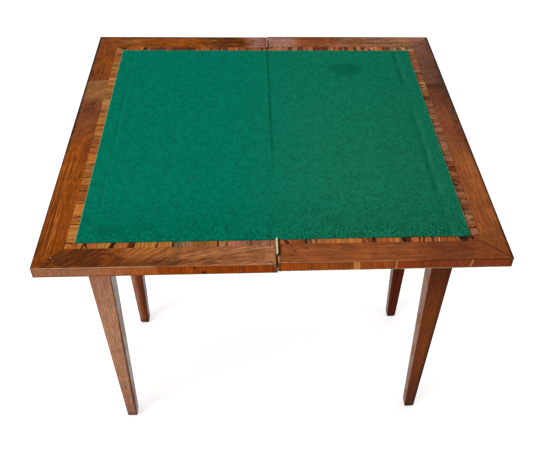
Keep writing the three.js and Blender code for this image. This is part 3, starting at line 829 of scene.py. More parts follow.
def outer_veneer_finish():
    """The closed table's top: two matched sheets of walnut that mirror each other across the middle."""
    finish = Finish("Walnut veneer, outer face", "x", (5.2, 0, 0))
    bench = finish.bench
    x, y = finish.parts[:2]
    mirrored = bench.maths("ABSOLUTE", bench.plus(y, 0.0015))
    position = bench.combine(x, bench.plus(mirrored, 0.05), 0.2)
    wood(finish, ("a5662e", "8a4d20", "5c2e12"), 0.006, 0.022, 0.85, position, veined=0.6, fibre=1.1,
         flecked=0.6)
    polish(finish, 0.26, 0.42)
    finish.line((0, -0.0015, 0), (0, 1, 0), 0.0008, JOINT_DIRT_AND_SHADE, 0.5)
    worn = bench.place(EDGE_WEAR, Position=finish.place, Radius=0.0012)
    finish.tint(worn["Mask"], "2c170d", 0.6)
    return finish.polished(0.2, 0.2)


def lipping_finish(name, tones, start, gap, light=0.0):
    """Lipping along the seam, toned like the border, with painted shade towards the seam gap, by the back
    hinge and along the lower arris. gap is where that shade starts and where it is full. light is how strong
    a painted highlight on the front arris is."""
    finish = Finish(name, "y", start)
    wood(finish, tones, 0.003, 0.004, fibre=1.3, flecked=0.5)
    polish(finish, 0.4, 0.6)
    finish.past("Y", -0.398, -0.4, "6e3c22", 0.45)
    # Painted shade towards the seam gap
    finish.tint(finish.beyond("X", *gap), "1d0d06", 0.8)
    # A painted highlight along the front arris
    if light:
        finish.line((0.0018, 0, 0), (1, 0, 0), 0.0009, "d8a890", light, finish.beyond("Y", -0.376, -0.384))
    # Painted shade round the back hinge and along the lower arris
    finish.line((-0.0068, 0, 0), (1, 0, 0), 0.0011, JOINT_DIRT_AND_SHADE, 0.75, finish.beyond("Y", 0.325, 0.345))
    finish.line((0, 0, UNDERSIDE), (0, 0, 1), 0.0032, JOINT_DIRT_AND_SHADE, 0.8)
    return finish.polished(0.3, 0.03)


def crossband_finish():
    """Tulipwood blocks. Each block carries its own tint, streak and place in the figure."""
    finish = Finish("Tulipwood crossband")
    bench = finish.bench
    place = bench.add("ShaderNodeAttribute", attribute_name="figure").outputs["Vector"]
    tint = bench.add("ShaderNodeAttribute", attribute_name="tint").outputs["Color"]
    made = bench.place(WOOD_FIGURE, Position=place, Ring_Width=0.006, Wander=0.005)
    lift = bench.band(made["Figure"], 0.15, 0.85, 1.18, 0.72)
    streak = bench.band(made["Fibre"], 0.3, 0.7, 0.8, 1.2)
    vein = bench.band(made["Veins"], 0.34, 0.66, 1.16, 0.82)
    both = bench.times(bench.times(lift, streak), vein)
    finish.colour = bench.mix(1.0, tint, bench.combine(both, both, both), "MULTIPLY")
    # Paler and greyer towards the back of the right side, a painted sheen, with dark and gold streaks all
    # round
    paler = bench.times(finish.beyond("X", 0.29, 0.3), finish.beyond("Y", 0.13, 0.19))
    finish.tint(paler, (1.3, 1.75, 2.0, 1), 1.0, "MULTIPLY")
    dark = bench.noise(place, (9, 330, 1), 2, 0.55)
    finish.tint(bench.band(dark, 0.6, 0.66), "2a1206", 0.75)
    gold = bench.noise(bench.vector("ADD", place, (3, 3, 0)), (8, 220, 1), 2)
    finish.tint(bench.band(gold, 0.58, 0.7), "c08448", 0.4)
    # Knotted on the right and curled at the back, with painted shadow on the wood beside the cloth's lifted
    # right edge
    knotted = bench.noise(finish.place, (110, 230, 1), 3, 0.65, 1.5)
    on_right = finish.beyond("X", 0.28, 0.31)
    finish.tint(bench.times(bench.band(knotted, 0.54, 0.62), on_right), "2a1008", 0.75)
    finish.tint(bench.times(bench.band(knotted, 0.42, 0.34), on_right), "b87852", 0.5)
    curled = bench.noise(finish.place, (150, 90, 1), 3, 0.65, 1.2)
    curled = bench.times(bench.band(curled, 0.55, 0.64), finish.beyond("Y", 0.28, 0.31))
    finish.tint(curled, "2a1008", 0.6)
    soiled = bench.noise(finish.place, (60, 45, 1), 3, 0.6)
    soiled = bench.times(bench.band(soiled, 0.38, 0.55), finish.within("X", 0.3385, 0.3412, 0.001))
    finish.tint(soiled, "140906", 0.85)
    finish.height = bench.minus(made["Fibre"], made["Pores"])
    polish(finish, 0.3, 0.46)
    return finish.polished(0.2, 0.03)


def brass_finish(name, bright, dull, notch_shade):
    """Old brass: bright where it is rubbed, tarnished elsewhere, and dark with painted shade on the side by
    the notch.
    """
    finish = Finish(name)
    bench = finish.bench
    made = bench.place(TARNISH, Position=finish.place, Grain=170.0)
    finish.colour = bench.mix(made["Stain"], bright, dull)
    worn = bench.place(EDGE_WEAR, Position=finish.place, Radius=0.0004)
    finish.tint(worn["Mask"], "d8c894", 0.3)
    finish.tint(made["Pits"], "6b5530", 0.3)
    # Painted shade on the side by the notch
    finish.past("X", 0.0006, 0.0018, "0d0804", notch_shade)
    finish.roughness = bench.band(made["Stain"], 0.0, 1.0, 0.36, 0.55)
    finish.height = made["Pits"]
    return finish.done(0.3, 0.0002, Metallic=1.0)


def iron_finish():
    """Forged iron, dark and pitted, with bright arrises."""
    finish = Finish("Forged iron")
    bench = finish.bench
    made = bench.place(TARNISH, Position=finish.place, Grain=120.0)
    finish.colour = bench.mix(made["Stain"], "5b5650", "3a322c")
    finish.tint(made["Pits"], "6a3d22", 0.6)
    worn = bench.place(EDGE_WEAR, Position=finish.place, Radius=0.0008)
    finish.tint(worn["Patchy"], "8d8880", 0.7)
    finish.roughness = bench.band(made["Pits"], 0.0, 1.0, 0.45, 0.8)
    finish.height = bench.times(made["Stain"], 0.6)
    return finish.done(0.5, Metallic=1.0)


def baize_finish():
    """Green baize: a felted nap, bluer on the flap, with pressed ridges and a seam crease drawn in painted
    shade and highlight, a stain, and a pale cut edge with painted shade along its front.
    """
    finish = Finish("Green baize", flat_place="laid_flat")
    bench = finish.bench
    made = bench.place(NAPPED_CLOTH, Position=finish.place)
    x, y = finish.parts[:2]
    left = bench.mix(made["Tuft"], "006a50", "027a62")
    right = bench.mix(made["Tuft"], "10664a", "187a5b")
    finish.colour = bench.mix(bench.band(x, -0.12, 0.16), left, right)
    finish.past("Y", -0.19, -0.34, "e4e0de", 0.55, "MULTIPLY")
    finish.past("X", 0.12, 0.34, "e9e4e2", 0.4, "MULTIPLY")
    finish.past("Y", -0.15, 0.3, (0.5, 1, 1.02, 1), 1.0, "MULTIPLY")
    # The nap, coarser to the front and the right
    rough = bench.times(bench.band(y, -0.2, -0.31, 1.1, 1.8), bench.band(x, -0.1, 0.2, 0.78, 1.5))
    rough = bench.times(bench.band(y, -0.306, -0.33, 1.0, 2.3), rough)
    grain = bench.plus(bench.band(made["Fibre"], 0.3, 0.7, -0.13, 0.13),
                        bench.band(made["Tuft"], 0.3, 0.7, -0.15, 0.15))
    lift = bench.plus(bench.band(made["Mottle"], 0.3, 0.7, -0.07, 0.07), bench.times(grain, rough))
    lift = bench.plus(lift, bench.band(made["Clump"], 0.3, 0.7, -0.11, 0.11))
    lift = bench.plus(lift, bench.band(made["Rows"], 0.35, 0.65, 0.92, 1.08))
    finish.colour = bench.mix(1.0, finish.colour, bench.combine(lift, lift, lift), "MULTIPLY")
    # Painted shade in the crease over the seam, darker to the back
    along = bench.noise(finish.place, (9, 16, 1), 2)
    patchy = bench.band(along, 0.36, 0.62, 0.15, 1.0)
    crease = bench.band(bench.maths("ABSOLUTE", x), 0.0046, 0.0006)
    crease = bench.times(crease, bench.band(y, -0.2, -0.02, 0.0, 1.0))
    finish.tint(bench.times(crease, bench.band(along, 0.3, 0.6, 0.6, 1.0)), "02543f", 0.8)
    waver = bench.noise(finish.place, (1, 22, 1), 2)
    waver = bench.band(waver, 0.3, 0.7, -0.001, 0.001)
    # The pressed ridges, each drawn as a painted shaded line and a painted lit line: where each runs, how
    # wide it fades, its tone and amount
    ridges = ((-0.3125, 0.003, "02543f", 0.36), (-0.307, 0.004, "1a866c", 0.22),
              (0.301, 0.007, "04513a", 0.5), (0.312, 0.0065, "2a8064", 0.35))
    for place, soft, tone, amount in ridges:
        near = bench.maths("ABSOLUTE", bench.minus(bench.plus(x, waver), place))
        finish.tint(bench.times(bench.band(near, soft, soft * 0.2), patchy), tone, amount)
    finish.patch((0.179, 0.24), (0.05, 0.04), "004d3a", 0.45, 0.9)
    finish.patch((-0.29, -0.31), (0.03, 0.02), "034a38", 0.25, 1.6)
    broken = bench.noise(finish.place, (170, 170, 170), 3, 0.65)
    ragged = bench.band(broken, 0.4, 0.56)
    # The cut edges: how far in from each, its tone and amount, and where it shows. The front one is a line of
    # painted shade
    edges = (
        (bench.plus(x, CLOTH_X), "9fae80", 0.6, 1.0),
        (bench.minus(CLOTH_X, x), "c08a5a", 0.6, ragged),
        (bench.minus(CLOTH_BACK, y), "b3b184", 0.5, ragged),
        (bench.minus(y, CLOTH_FRONT), "0a3d2c", 0.5, ragged),
    )
    for inside, tone, amount, mask in edges:
        rim = bench.times(bench.band(inside, 0.0018, 0.0008), mask)
        finish.tint(rim, tone, amount)
    finish.roughness = 0.95
    finish.height = made["Height"]
    return finish.done(0.7, 0.0007, Specular_IOR_Level=0.02)


def dress(names, material):
    """Gives solids of the frame one finish."""
    for name in names:
        slots = nodes[name].material_slots
        if slots:
            for slot in slots:
                slot.material = material
        else:
            nodes[name].data.materials.append(material)


def soften(names, width, segments=2):
    """Rounds the arrises of solids a little."""
    for name in names:
        bevel = nodes[name].modifiers.new("Softened arrises", "BEVEL")
        bevel.width = width
        bevel.segments = segments
        bevel.limit_method = "ANGLE"
        bevel.angle_limit = math.radians(40)
        bevel.harden_normals = False


def object_from(mesh_data, name, material):
    """A piece of the scene from finished mesh data."""
    mesh = bpy.data.meshes.new(name)
    mesh_data.to_mesh(mesh)
    mesh_data.free()
    mesh.materials.append(material)
    made = bpy.data.objects.new(name, mesh)
    bpy.context.scene.collection.objects.link(made)
    return made


def clipped(outline, point, normal):
    """The part of a convex outline on the side of a line that the normal points to."""
    kept = []
    heights = [(corner - point).dot(normal) for corner in outline]
    for i, (corner, height) in enumerate(zip(outline, heights)):
        following = outline[(i + 1) % len(outline)]
        next_height = heights[(i + 1) % len(outline)]
        if height >= 0:
            kept.append(corner)
        if (height > 0 > next_height) or (height < 0 < next_height):
            kept.append(corner.lerp(following, height / (height - next_height)))
    return kept


def signed_area(outline):
    """The area inside an outline, negative where it runs clockwise."""
    return sum(a.cross(b) for a, b in zip(outline, outline[1:] + outline[:1])) / 2


def shrunk(outline, amount):
    """A convex outline moved in by a small amount on every side."""
    turn = 1 if signed_area(outline) > 0 else -1
    kept = outline
    for a, b in zip(outline, outline[1:] + outline[:1]):
        inward = Vector((-(b - a).y, (b - a).x)).normalized() * turn
        kept = clipped(kept, a + inward * amount, inward)
    return kept


TULIPWOOD_TONES = {
    "amber": "965020", "tan": "a4622c", "gold": "b06e30", "pale": "bc8650", "olive": "8c5826",
    "rust": "803c1a", "umber": "562a12", "black": "241005", "grey": "685640", "pink": "9c6648",
    "smoke": "855a3c",
}

# The cast of the stretches that differ from the rest: what multiplies their red, green and blue
BAND_CAST = {"fixed_front": (1.16, 1.02, 1.2), "flap_back": (1.15, 0.92, 0.65), "fixed_back": (1.4, 1.2, 1.0)}

# What the other stretches draw the tones of their blocks from
TONE_CHOICES = {
    "flap_side": ("tan", "tan", "gold", "gold", "tan", "olive", "gold", "amber", "pale", "tan"),
    "flap_back": ("amber", "umber", "olive", "rust", "tan", "black", "amber", "umber"),
    "fixed_side": ("smoke", "rust", "rust", "pink", "smoke", "umber", "amber", "rust"),
    "fixed_back": ("pink", "smoke", "amber", "umber", "umber", "tan", "smoke"),
}

# The front stretches, block by block from left to right: the millimetre each ends at, its tone and its lean
FRONT_BLOCKS = {
    "flap_front": [
        (-333, "amber", 0.0), (-325.5, "tan", 0.35), (-322.5, "black", 0.3), (-320, "tan", -0.4),
        (-317, "black", -0.3), (-300, "tan", 0.05), (-280, "gold", 0.3), (-273, "black", 0.35),
        (-250, "tan", 0.1), (-238, "umber", 0.1), (-203, "gold", 0.2), (-200.5, "black", 0.1),
        (-177, "gold", 0.0), (-174, "black", 0.0), (-160, "grey", 0.0), (-145, "pink", 0.05),
        (-101, "olive", 0.0), (-98, "black", 0.0), (-93, "pale", 0.0), (-86, "pink", 0.05),
        (-83, "umber", 0.0), (-52, "pink", 0.1), (-25, "smoke", 0.1), (0, "pink", 0.0)],
    "fixed_front": [
        (13, "amber", -0.4), (20, "umber", -0.5), (29, "amber", 0.1), (48, "rust", 0.0), (51.5, "black", 0.0),
        (60, "grey", 0.0), (67, "tan", 0.1), (69, "umber", 0.1), (74, "tan", 0.0), (147, "gold", 0.0),
        (151, "umber", -0.5), (155.5, "amber", -0.5), (160.5, "umber", -0.5), (164, "amber", 0.0),
        (170, "black", 0.0), (195, "amber", 0.1), (216, "tan", 0.0), (223, "black", 0.0), (233, "umber", 0.0),
        (245.5, "tan", 0.1), (249, "umber", 0.2), (252.5, "tan", 0.2), (256, "umber", 0.2), (260, "tan", 0.1),
        (263, "amber", 0.0), (268, "tan", 0.0), (271.5, "umber", 0.0), (277, "tan", 0.0), (279, "umber", 0.0),
        (282, "pale", 0.0), (304.5, "amber", 0.1), (310, "tan", -0.2), (312, "umber", -0.3),
        (317, "tan", -0.3), (329, "black", 0.0), (336, "umber", 0.0), (360, "rust", 0.0)],
}

# Blocks smaller than this, in square metres, are left out
MIN_BLOCK_AREA = 8e-6
# The glue line round each block
BLOCK_GAP = 0.05 * MM
# How far inside the band's outer edge a block's given place is measured
SIGHT_LINE = 6 * MM


def block_plan(stretch, reach, draw):
    """Where each block of a stretch of crossband ends, its tone and its lean, along the reach.
    Many blocks are followed by a thin dark one."""
    if stretch in FRONT_BLOCKS:
        return [(end * MM, tone, lean) for end, tone, lean in FRONT_BLOCKS[stretch]]
    small = stretch != "flap_side"
    widths = (0.005, 0.008, 0.011, 0.015) if small else (0.009, 0.014, 0.02, 0.028)
    plan = []
    spot = reach[0]
    while spot < reach[1]:
        spot += draw.choice(widths) * draw.uniform(0.8, 1.2)
        plan.append((spot, draw.choice(TONE_CHOICES[stretch]), draw.gauss(0, 0.1)))
        if draw.random() < 0.65:
            spot += draw.uniform(0.0012, 0.0028)
            plan.append((spot, draw.choice(("black", "black", "umber")), draw.gauss(0, 0.2)))
    return plan


def cut_blocks(stretch, leaf, where, draw):
    """Cuts one stretch of crossband into blocks, each an outline and a tone. Gives them with the directions
    along and across the stretch."""
    shift = leaf * LEAF_SHIFT
    outer = HALF_TOP - BORDER
    back = HALF_TOP - BACK_BORDER
    end = -1 if where == "front" else 1
    if where == "side":
        corners = [(outer, -outer), (outer, back), (FIELD, FIELD), (FIELD, -FIELD)]
        corners = [(leaf * x, y) for x, y in corners]
        along, across, reach = Vector((0, 1)), Vector((1, 0)), (-outer, back)
        seen = leaf * (outer - SIGHT_LINE)
    else:
        start = NOTCH if leaf > 0 else -FLAP_LIPPING
        rim = outer if where == "front" else back
        corners = [(start, rim), (leaf * outer, rim), (leaf * FIELD, FIELD), (start, FIELD)]
        corners = [(x, end * y) for x, y in corners]
        along, across, reach = Vector((1, 0)), Vector((0, 1)), sorted((start, leaf * outer))
        seen = end * (rim - SIGHT_LINE)
    blocks = []
    rest = [Vector((x, y + shift)) for x, y in corners]
    for spot, tone, lean in block_plan(stretch, reach, draw):
        through = along * spot + across * seen + Vector((0, shift))
        facing = (along - across * lean).normalized()
        blocks.append((clipped(rest, through, -facing), tone))
        rest = clipped(rest, through, facing)
        if len(rest) < 3:
            break
    if len(rest) >= 3:
        blocks.append((rest, "amber"))
    if leaf > 0 and where != "side":
        # The sliver between the hinge's notch and the lipping
        by_notch = [Vector((x, end * NOTCH_END)) for x in (FIXED_LIPPING, NOTCH)]
        by_cloth = [Vector((x, end * FIELD + shift)) for x in (NOTCH, FIXED_LIPPING)]
        blocks.append((by_notch + by_cloth, "amber"))
    return blocks, along, across


def crossband(name, leaf, where, seed):
    """Short-grained blocks laid side by side along one side of a leaf, in place of the plain band.
    Each block keeps its tint and its place in the wood's figure on the mesh."""
    draw = random.Random(seed)
    stretch = f"{name.split('_')[0]}_{where}"
    cast = BAND_CAST.get(stretch, (1, 1, 1))
    blocks, along, across = cut_blocks(stretch, leaf, where, draw)
    mesh_data = bmesh.new()
    figure = mesh_data.verts.layers.float_vector.new("figure")
    tint = mesh_data.loops.layers.float_color.new("tint")
    for outline, tone in blocks:
        if len(outline) < 3 or abs(signed_area(outline)) < MIN_BLOCK_AREA:
            continue
        clockwise = signed_area(outline) < 0
        outline = shrunk(outline, BLOCK_GAP)
        colour = [c * share * draw.uniform(0.88, 1.1) for c, share in zip(paint(TULIPWOOD_TONES[tone]), cast)]
        jump = Vector((draw.uniform(0, 9), draw.uniform(0, 9), draw.uniform(0, 9)))
        lean = draw.gauss(0, 0.12)
        lower = [mesh_data.verts.new((p.x, p.y, TOP - VENEER)) for p in outline]
        upper = [mesh_data.verts.new((p.x, p.y, TOP)) for p in outline]
        if clockwise:
            lower.reverse()
            upper.reverse()
        faces = [mesh_data.faces.new(upper), mesh_data.faces.new(lower[::-1])]
        count = len(upper)
        for i in range(count):
            j = (i + 1) % count
            faces.append(mesh_data.faces.new((lower[i], lower[j], upper[j], upper[i])))
        for face in faces:
            for loop in face.loops:
                loop[tint] = (*colour, 1)
        for vert in lower + upper:
            flat = Vector((vert.co.x, vert.co.y))
            place = Vector((flat.dot(across), flat.dot(along) + lean * flat.dot(across), vert.co.z))
            vert[figure] = jump + place
    made = object_from(mesh_data, f"{name}_blocks", TULIPWOOD)
    bevel = made.modifiers.new("Softened arrises", "BEVEL")
    bevel.width = 0.08 * MM
    bevel.segments = 1
    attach(made, "flap" if leaf < 0 else "fixed_leaf")
    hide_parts(name)


def spread_of(start, end, step, extras):
    """Places from start to end about a step apart, with closer ones round each extra place."""
    count = round((end - start) / step)
    spots = {round(start + (end - start) * i / count, 5) for i in range(count + 1)}
    for extra, offsets in extras:
        spots = {spot for spot in spots if abs(spot - extra) > offsets[-1] + step * 0.2}
        spots |= {round(extra + side * offset, 5) for offset in offsets for side in (-1, 1)}
    spots = {spot for spot in spots if start <= spot <= end}
    return sorted(spots | {start, end})


def cloth_end(x, y):
    """Where the cloth is really cut at its front or back. The front is notched at the hinge and runs a little
    askew, and the back bows and dips left of the hinge."""
    if y == CLOTH_FRONT:
        if -3.6 * MM < x < 4.9 * MM:
            return -339.7 * MM
        return (-342.4 + 2.8 * max(0.0, x) / CLOTH_X) * MM
    bow = 6 * (x / CLOTH_X) ** 2
    dip = 6.8 * math.exp(-((x + 30 * MM) / (110 * MM)) ** 2)
    return (326.5 + bow - dip) * MM


# The ridges that the joints under the cloth press into it: one on each side, and one in front
LEFT_RIDGE = -FIELD
RIGHT_RIDGE = FIELD - 2 * MM
FRONT_RIDGE = -FIELD + MM


def baize_height(x, y):
    """How far the cloth's upper side stands above the wood."""
    inside = min(CLOTH_X - abs(x), CLOTH_BACK - y, y - CLOTH_FRONT)
    height = CLOTH_THICKNESS - 0.06 * MM
    # Thinned at its cut edge, raised over the joints, sunk at the seam, and never quite flat
    height -= 0.45 * MM * max(0.0, 1 - inside / (1.2 * MM)) ** 2
    for along, ridge in ((x, LEFT_RIDGE), (x, RIGHT_RIDGE), (y, FRONT_RIDGE)):
        height += 0.14 * MM * math.exp(-((along - ridge) / (2 * MM)) ** 2)
    height -= 0.3 * MM * math.exp(-(x / (1.5 * MM)) ** 2)
    height += 0.05 * MM * math.sin(x * 61 + 2 * math.sin(y * 23)) * math.sin(y * 47 + 1.3)
    if y < -FIELD:
        height += 0.07 * MM * math.sin(x * 410) * math.sin(y * 530 + x * 90)
    # Lifting along its right edge
    loose = 20 * MM
    if x > CLOTH_X - loose:
        height += 0.5 * MM * (1 - (CLOTH_X - x) / loose) * max(0.0, math.sin(y * 15 + 0.6))
    return height


def baize_sheet(material):
    """One cloth over both leaves: a closed sheet with its ridges, its crease at the seam and its cut edge.
    Its points stand closer at these, and each keeps its flat place for the finish."""
    draw = random.Random(11)
    step = 6 * MM
    # How far the closer points lie from a ridge, from a cut edge and from the seam
    by_ridge = (0.0006, 0.0013, 0.0024)
    by_cut = (0.0006, 0.0014)
    by_seam = (0.0004, 0.0009, 0.0016, 0.0026, 0.0034, 0.0038, 0.0048, 0.0052)
    xs = spread_of(-CLOTH_X, CLOTH_X, step, [
        (LEFT_RIDGE, by_ridge), (RIGHT_RIDGE, by_ridge), (0.0, by_seam),
        (-CLOTH_X, by_cut), (CLOTH_X, by_cut)])
    ys = spread_of(CLOTH_FRONT, CLOTH_BACK, step, [
        (FRONT_RIDGE, by_ridge), (CLOTH_FRONT, (*by_cut, 0.0026)), (CLOTH_BACK, (*by_cut, 0.0026, 0.0045))])
    mesh_data = bmesh.new()
    upper = []
    lower = []
    for x in xs:
        upper.append([])
        lower.append([])
        for y in ys:
            cut_x, cut_y = x, y
            if abs(x) == CLOTH_X:
                cut_x = x - math.copysign(draw.uniform(0, 0.5 * MM), x)
            if y in (CLOTH_FRONT, CLOTH_BACK):
                cut_y = cloth_end(x, y) - math.copysign(draw.uniform(0, 0.4 * MM), y)
            height = baize_height(x, y)
            under = TOP + 0.02 * MM + max(0.0, height - CLOTH_THICKNESS)
            upper[-1].append(mesh_data.verts.new((cut_x, cut_y, TOP + height)))
            lower[-1].append(mesh_data.verts.new((cut_x, cut_y, under)))
    for i in range(len(xs) - 1):
        for j in range(len(ys) - 1):
            mesh_data.faces.new((upper[i][j], upper[i + 1][j], upper[i + 1][j + 1], upper[i][j + 1]))
            mesh_data.faces.new((lower[i][j], lower[i][j + 1], lower[i + 1][j + 1], lower[i + 1][j]))
    around = [(i, 0) for i in range(len(xs))]
    around += [(len(xs) - 1, j) for j in range(1, len(ys))]
    around += [(i, len(ys) - 1) for i in range(len(xs) - 2, -1, -1)]
    around += [(0, j) for j in range(len(ys) - 2, 0, -1)]
    for (i, j), (k, m) in zip(around, around[1:] + around[:1]):
        mesh_data.faces.new((lower[i][j], lower[k][m], upper[k][m], upper[i][j]))
    for face in mesh_data.faces:
        face.smooth = abs(face.normal.z) > 0.5
    laid_flat = mesh_data.verts.layers.float_vector.new("laid_flat")
    for vert in mesh_data.verts:
        vert[laid_flat] = vert.co
    return object_from(mesh_data, "baize_cloth", material)


def prism(mesh_data, outline, normal, thickness):
    """A closed flat piece: an outline in space, thickened along a normal."""
    push = Vector(normal).normalized() * thickness
    back = [mesh_data.verts.new(p) for p in outline]
    front = [mesh_data.verts.new(Vector(p) + push) for p in outline]
    mesh_data.faces.new(front)
    mesh_data.faces.new(back[::-1])
    count = len(outline)
    for i in range(count):
        j = (i + 1) % count
        mesh_data.faces.new((back[i], back[j], front[j], front[i]))


def edge_repairs():
    """Three pale slivers let into the front edge of the fixed leaf."""
    y = -HALF_TOP + LEAF_SHIFT + 0.4 * MM
    low = EDGE_BOTTOM + 0.2 * MM
    high = EDGE_TOP - 0.3 * MM
    # Where each stands, half its width, how far its top leans, and its three tones
    shapes = [
        ("edge_repair_wide", 0.1326, 0.0055, -0.0006, ("cc8a48", "b97434", "935629")),
        ("edge_repair_thin", 0.1996, 0.0012, 0.0006, ("c68c68", "b87850", "8d5630")),
        ("edge_repair_slanted", 0.3284, 0.002, 0.0035, ("c88450", "b87242", "8d5630")),
    ]
    for name, x, half, slant, tones in shapes:
        mesh_data = bmesh.new()
        foot = x - slant / 2
        head = x + slant / 2
        outline = [(foot - half, y, low), (foot + half, y, low),
                   (head + half, y, high), (head - half, y, high)]
        prism(mesh_data, outline, (0, -1, 0), 0.15 * MM)
        finish = Finish(f"Pale repair, {name.split('_')[-1]}", "z", (x * 9, 0, 0))
        wood(finish, tones, 0.003, 0.004)
        polish(finish, 0.34, 0.5)
        made = object_from(mesh_data, name, finish.done(0.2, Specular_IOR_Level=0.05))
        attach(made, "fixed_leaf")


def half_head(side, turn):
    """Half of a slotted screw head, drawn flat round its middle. side is 1 or -1, and turn is the slot's
    angle."""
    cosine, sine = math.cos(turn), math.sin(turn)
    outline = []
    for i in range(13):
        angle = math.pi * i / 12
        x = math.cos(angle) * SCREW_HEAD
        y = max(math.sin(angle) * SCREW_HEAD, SCREW_SLOT / 2) * side
        outline.append((x * cosine - y * sine, x * sine + y * cosine))
    return outline


def hinge_screws():
    """Slotted heads of the screws that hold the hinge plates, three to a plate, each turned its own way."""
    for hinge, middle in (("front", -HINGE_Y), ("back", HINGE_Y)):
        for leaf, body in ((1, "fixed_leaf"), (-1, "flap")):
            mesh_data = bmesh.new()
            for offset in (-SCREW_SPACING, 0.0, SCREW_SPACING):
                turn = 0.6 + offset * 90 + leaf * 0.4 + middle
                for side in (1, -1):
                    outline = [(leaf * SCREW_X, middle + offset + across, SCREW_Z + up)
                               for across, up in half_head(side, turn)]
                    order = outline if side * leaf < 0 else outline[::-1]
                    prism(mesh_data, order, (-leaf, 0, 0), 0.1 * MM)
            bmesh.ops.recalc_face_normals(mesh_data, faces=mesh_data.faces)
            made = object_from(mesh_data, f"{hinge}_hinge_{body}_screws", BRASS)
            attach(made, body)


def well_nails():
    """Clout nails along the edges of the well's bottom, seen from below."""
    mesh_data = bmesh.new()
    spots = [(x, y) for x in (-0.27, -0.16, -0.05, 0.06, 0.17, 0.28) for y in (-0.167, 0.167)]
    spots += [(x, y) for x in (-0.367, 0.367) for y in (-0.09, 0.0, 0.09)]
    angles = [math.tau * i / 10 for i in range(10)]
    for x, y in spots:
        outline = [(x + math.cos(a) * NAIL_HEAD, y + math.sin(a) * NAIL_HEAD, WELL_UNDERSIDE) for a in angles]
        prism(mesh_data, outline[::-1], (0, 0, -1), 0.3 * MM)
    bmesh.ops.recalc_face_normals(mesh_data, faces=mesh_data.faces)
    made = object_from(mesh_data, "well_bottom_nails", IRON)
    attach(made, "frame")


def seen_straight(bench):
    """1 for the camera, also by way of gloss or glass, and 0 for the light that falls on things."""
    path = bench.add("ShaderNodeLightPath").outputs
    bent = bench.maths("MAXIMUM", path["Is Glossy Ray"], path["Is Transmission Ray"])
    return bench.maths("MAXIMUM", path["Is Camera Ray"], bent)


def studio_floor():
    """A wide pale floor that shows as white and keeps the table's shadow."""
    mesh_data = bmesh.new()
    bmesh.ops.create_grid(mesh_data, x_segments=1, y_segments=1, size=30)
    material = bpy.data.materials.new("Studio floor")
    material.use_nodes = True
    bench = Bench(material.node_tree)
    shader = material.node_tree.nodes["Principled BSDF"]
    shader.inputs["Base Color"].default_value = (0.8, 0.8, 0.8, 1)
    shader.inputs["Roughness"].default_value = 0.9
    shader.inputs["Specular IOR Level"].default_value = 0.0
    strength = bench.times(seen_straight(bench), 0.6)
    glow = bench.add("ShaderNodeEmission", {"Color": (1, 1, 1, 1), "Strength": strength})
    both = bench.add("ShaderNodeAddShader", {0: shader.outputs[0], 1: glow.outputs[0]})
    bench.feed(material.node_tree.nodes["Material Output"].inputs["Surface"], both.outputs[0])
    floor = object_from(mesh_data, "studio_floor", material)
    floor.location.z = -0.2 * MM


def studio_world():
    """White to look at, and dimmer as a light."""
    world = bpy.data.worlds.new("Studio")
    bpy.context.scene.world = world
    world.use_nodes = True
    bench = Bench(world.node_tree)
    background = world.node_tree.nodes["Background"]
    background.inputs["Color"].default_value = (1, 1, 1, 1)
    bench.feed(background.inputs["Strength"], bench.plus(0.42, bench.times(seen_straight(bench), 0.58)))


def lamp(name, place, aim, size, watts):
    """A square soft lamp that faces its aim."""
    data = bpy.data.lights.new(name, "AREA")
    data.shape = "SQUARE"
    data.size = size
    data.energy = watts
    made = bpy.data.objects.new(name, data)
    made.location = place
    made.rotation_mode = "QUATERNION"
    made.rotation_quaternion = (Vector(aim) - Vector(place)).to_track_quat("-Z", "Y")
    bpy.context.scene.collection.objects.link(made)


# Finishes
TULIPWOOD = crossband_finish()
BRASS = brass_finish("Worn brass", "cfc096", "a38f62", 0.95)
# The back hinge's brass is darker and pinker: painted shade
BRASS_PAINTED_SHADE = brass_finish("Brass with painted shade", "9c7058", "7c503c", 0.9)
IRON = iron_finish()

dress(["flap_border_front"], border_front_flap())
dress(["flap_border_side"], border_side_flap())
dress(["flap_border_back"], border_back_flap())
dress(["fixed_border_front"], border_front_fixed())
dress(["fixed_border_side"], border_side_fixed())
dress(["fixed_border_back"], border_back_fixed())
for leaf, where, run, start, mark in (
        ("flap", "front", "x", 0.9, front_flap_marks), ("fixed", "front", "x", 2.3, front_fixed_marks),
        ("flap", "back", "x", 3.1, None), ("fixed", "back", "x", 4.7, None),
        ("flap", "side", "y", 5.9, None), ("fixed", "side", "y", 7.3, None)):
    dress([f"{leaf}_edge_{where}"], edge_finish(f"Walnut edge, {leaf} {where}", run, (0.2, start, 0), mark))
dress(["flap_outer_veneer"], outer_veneer_finish())
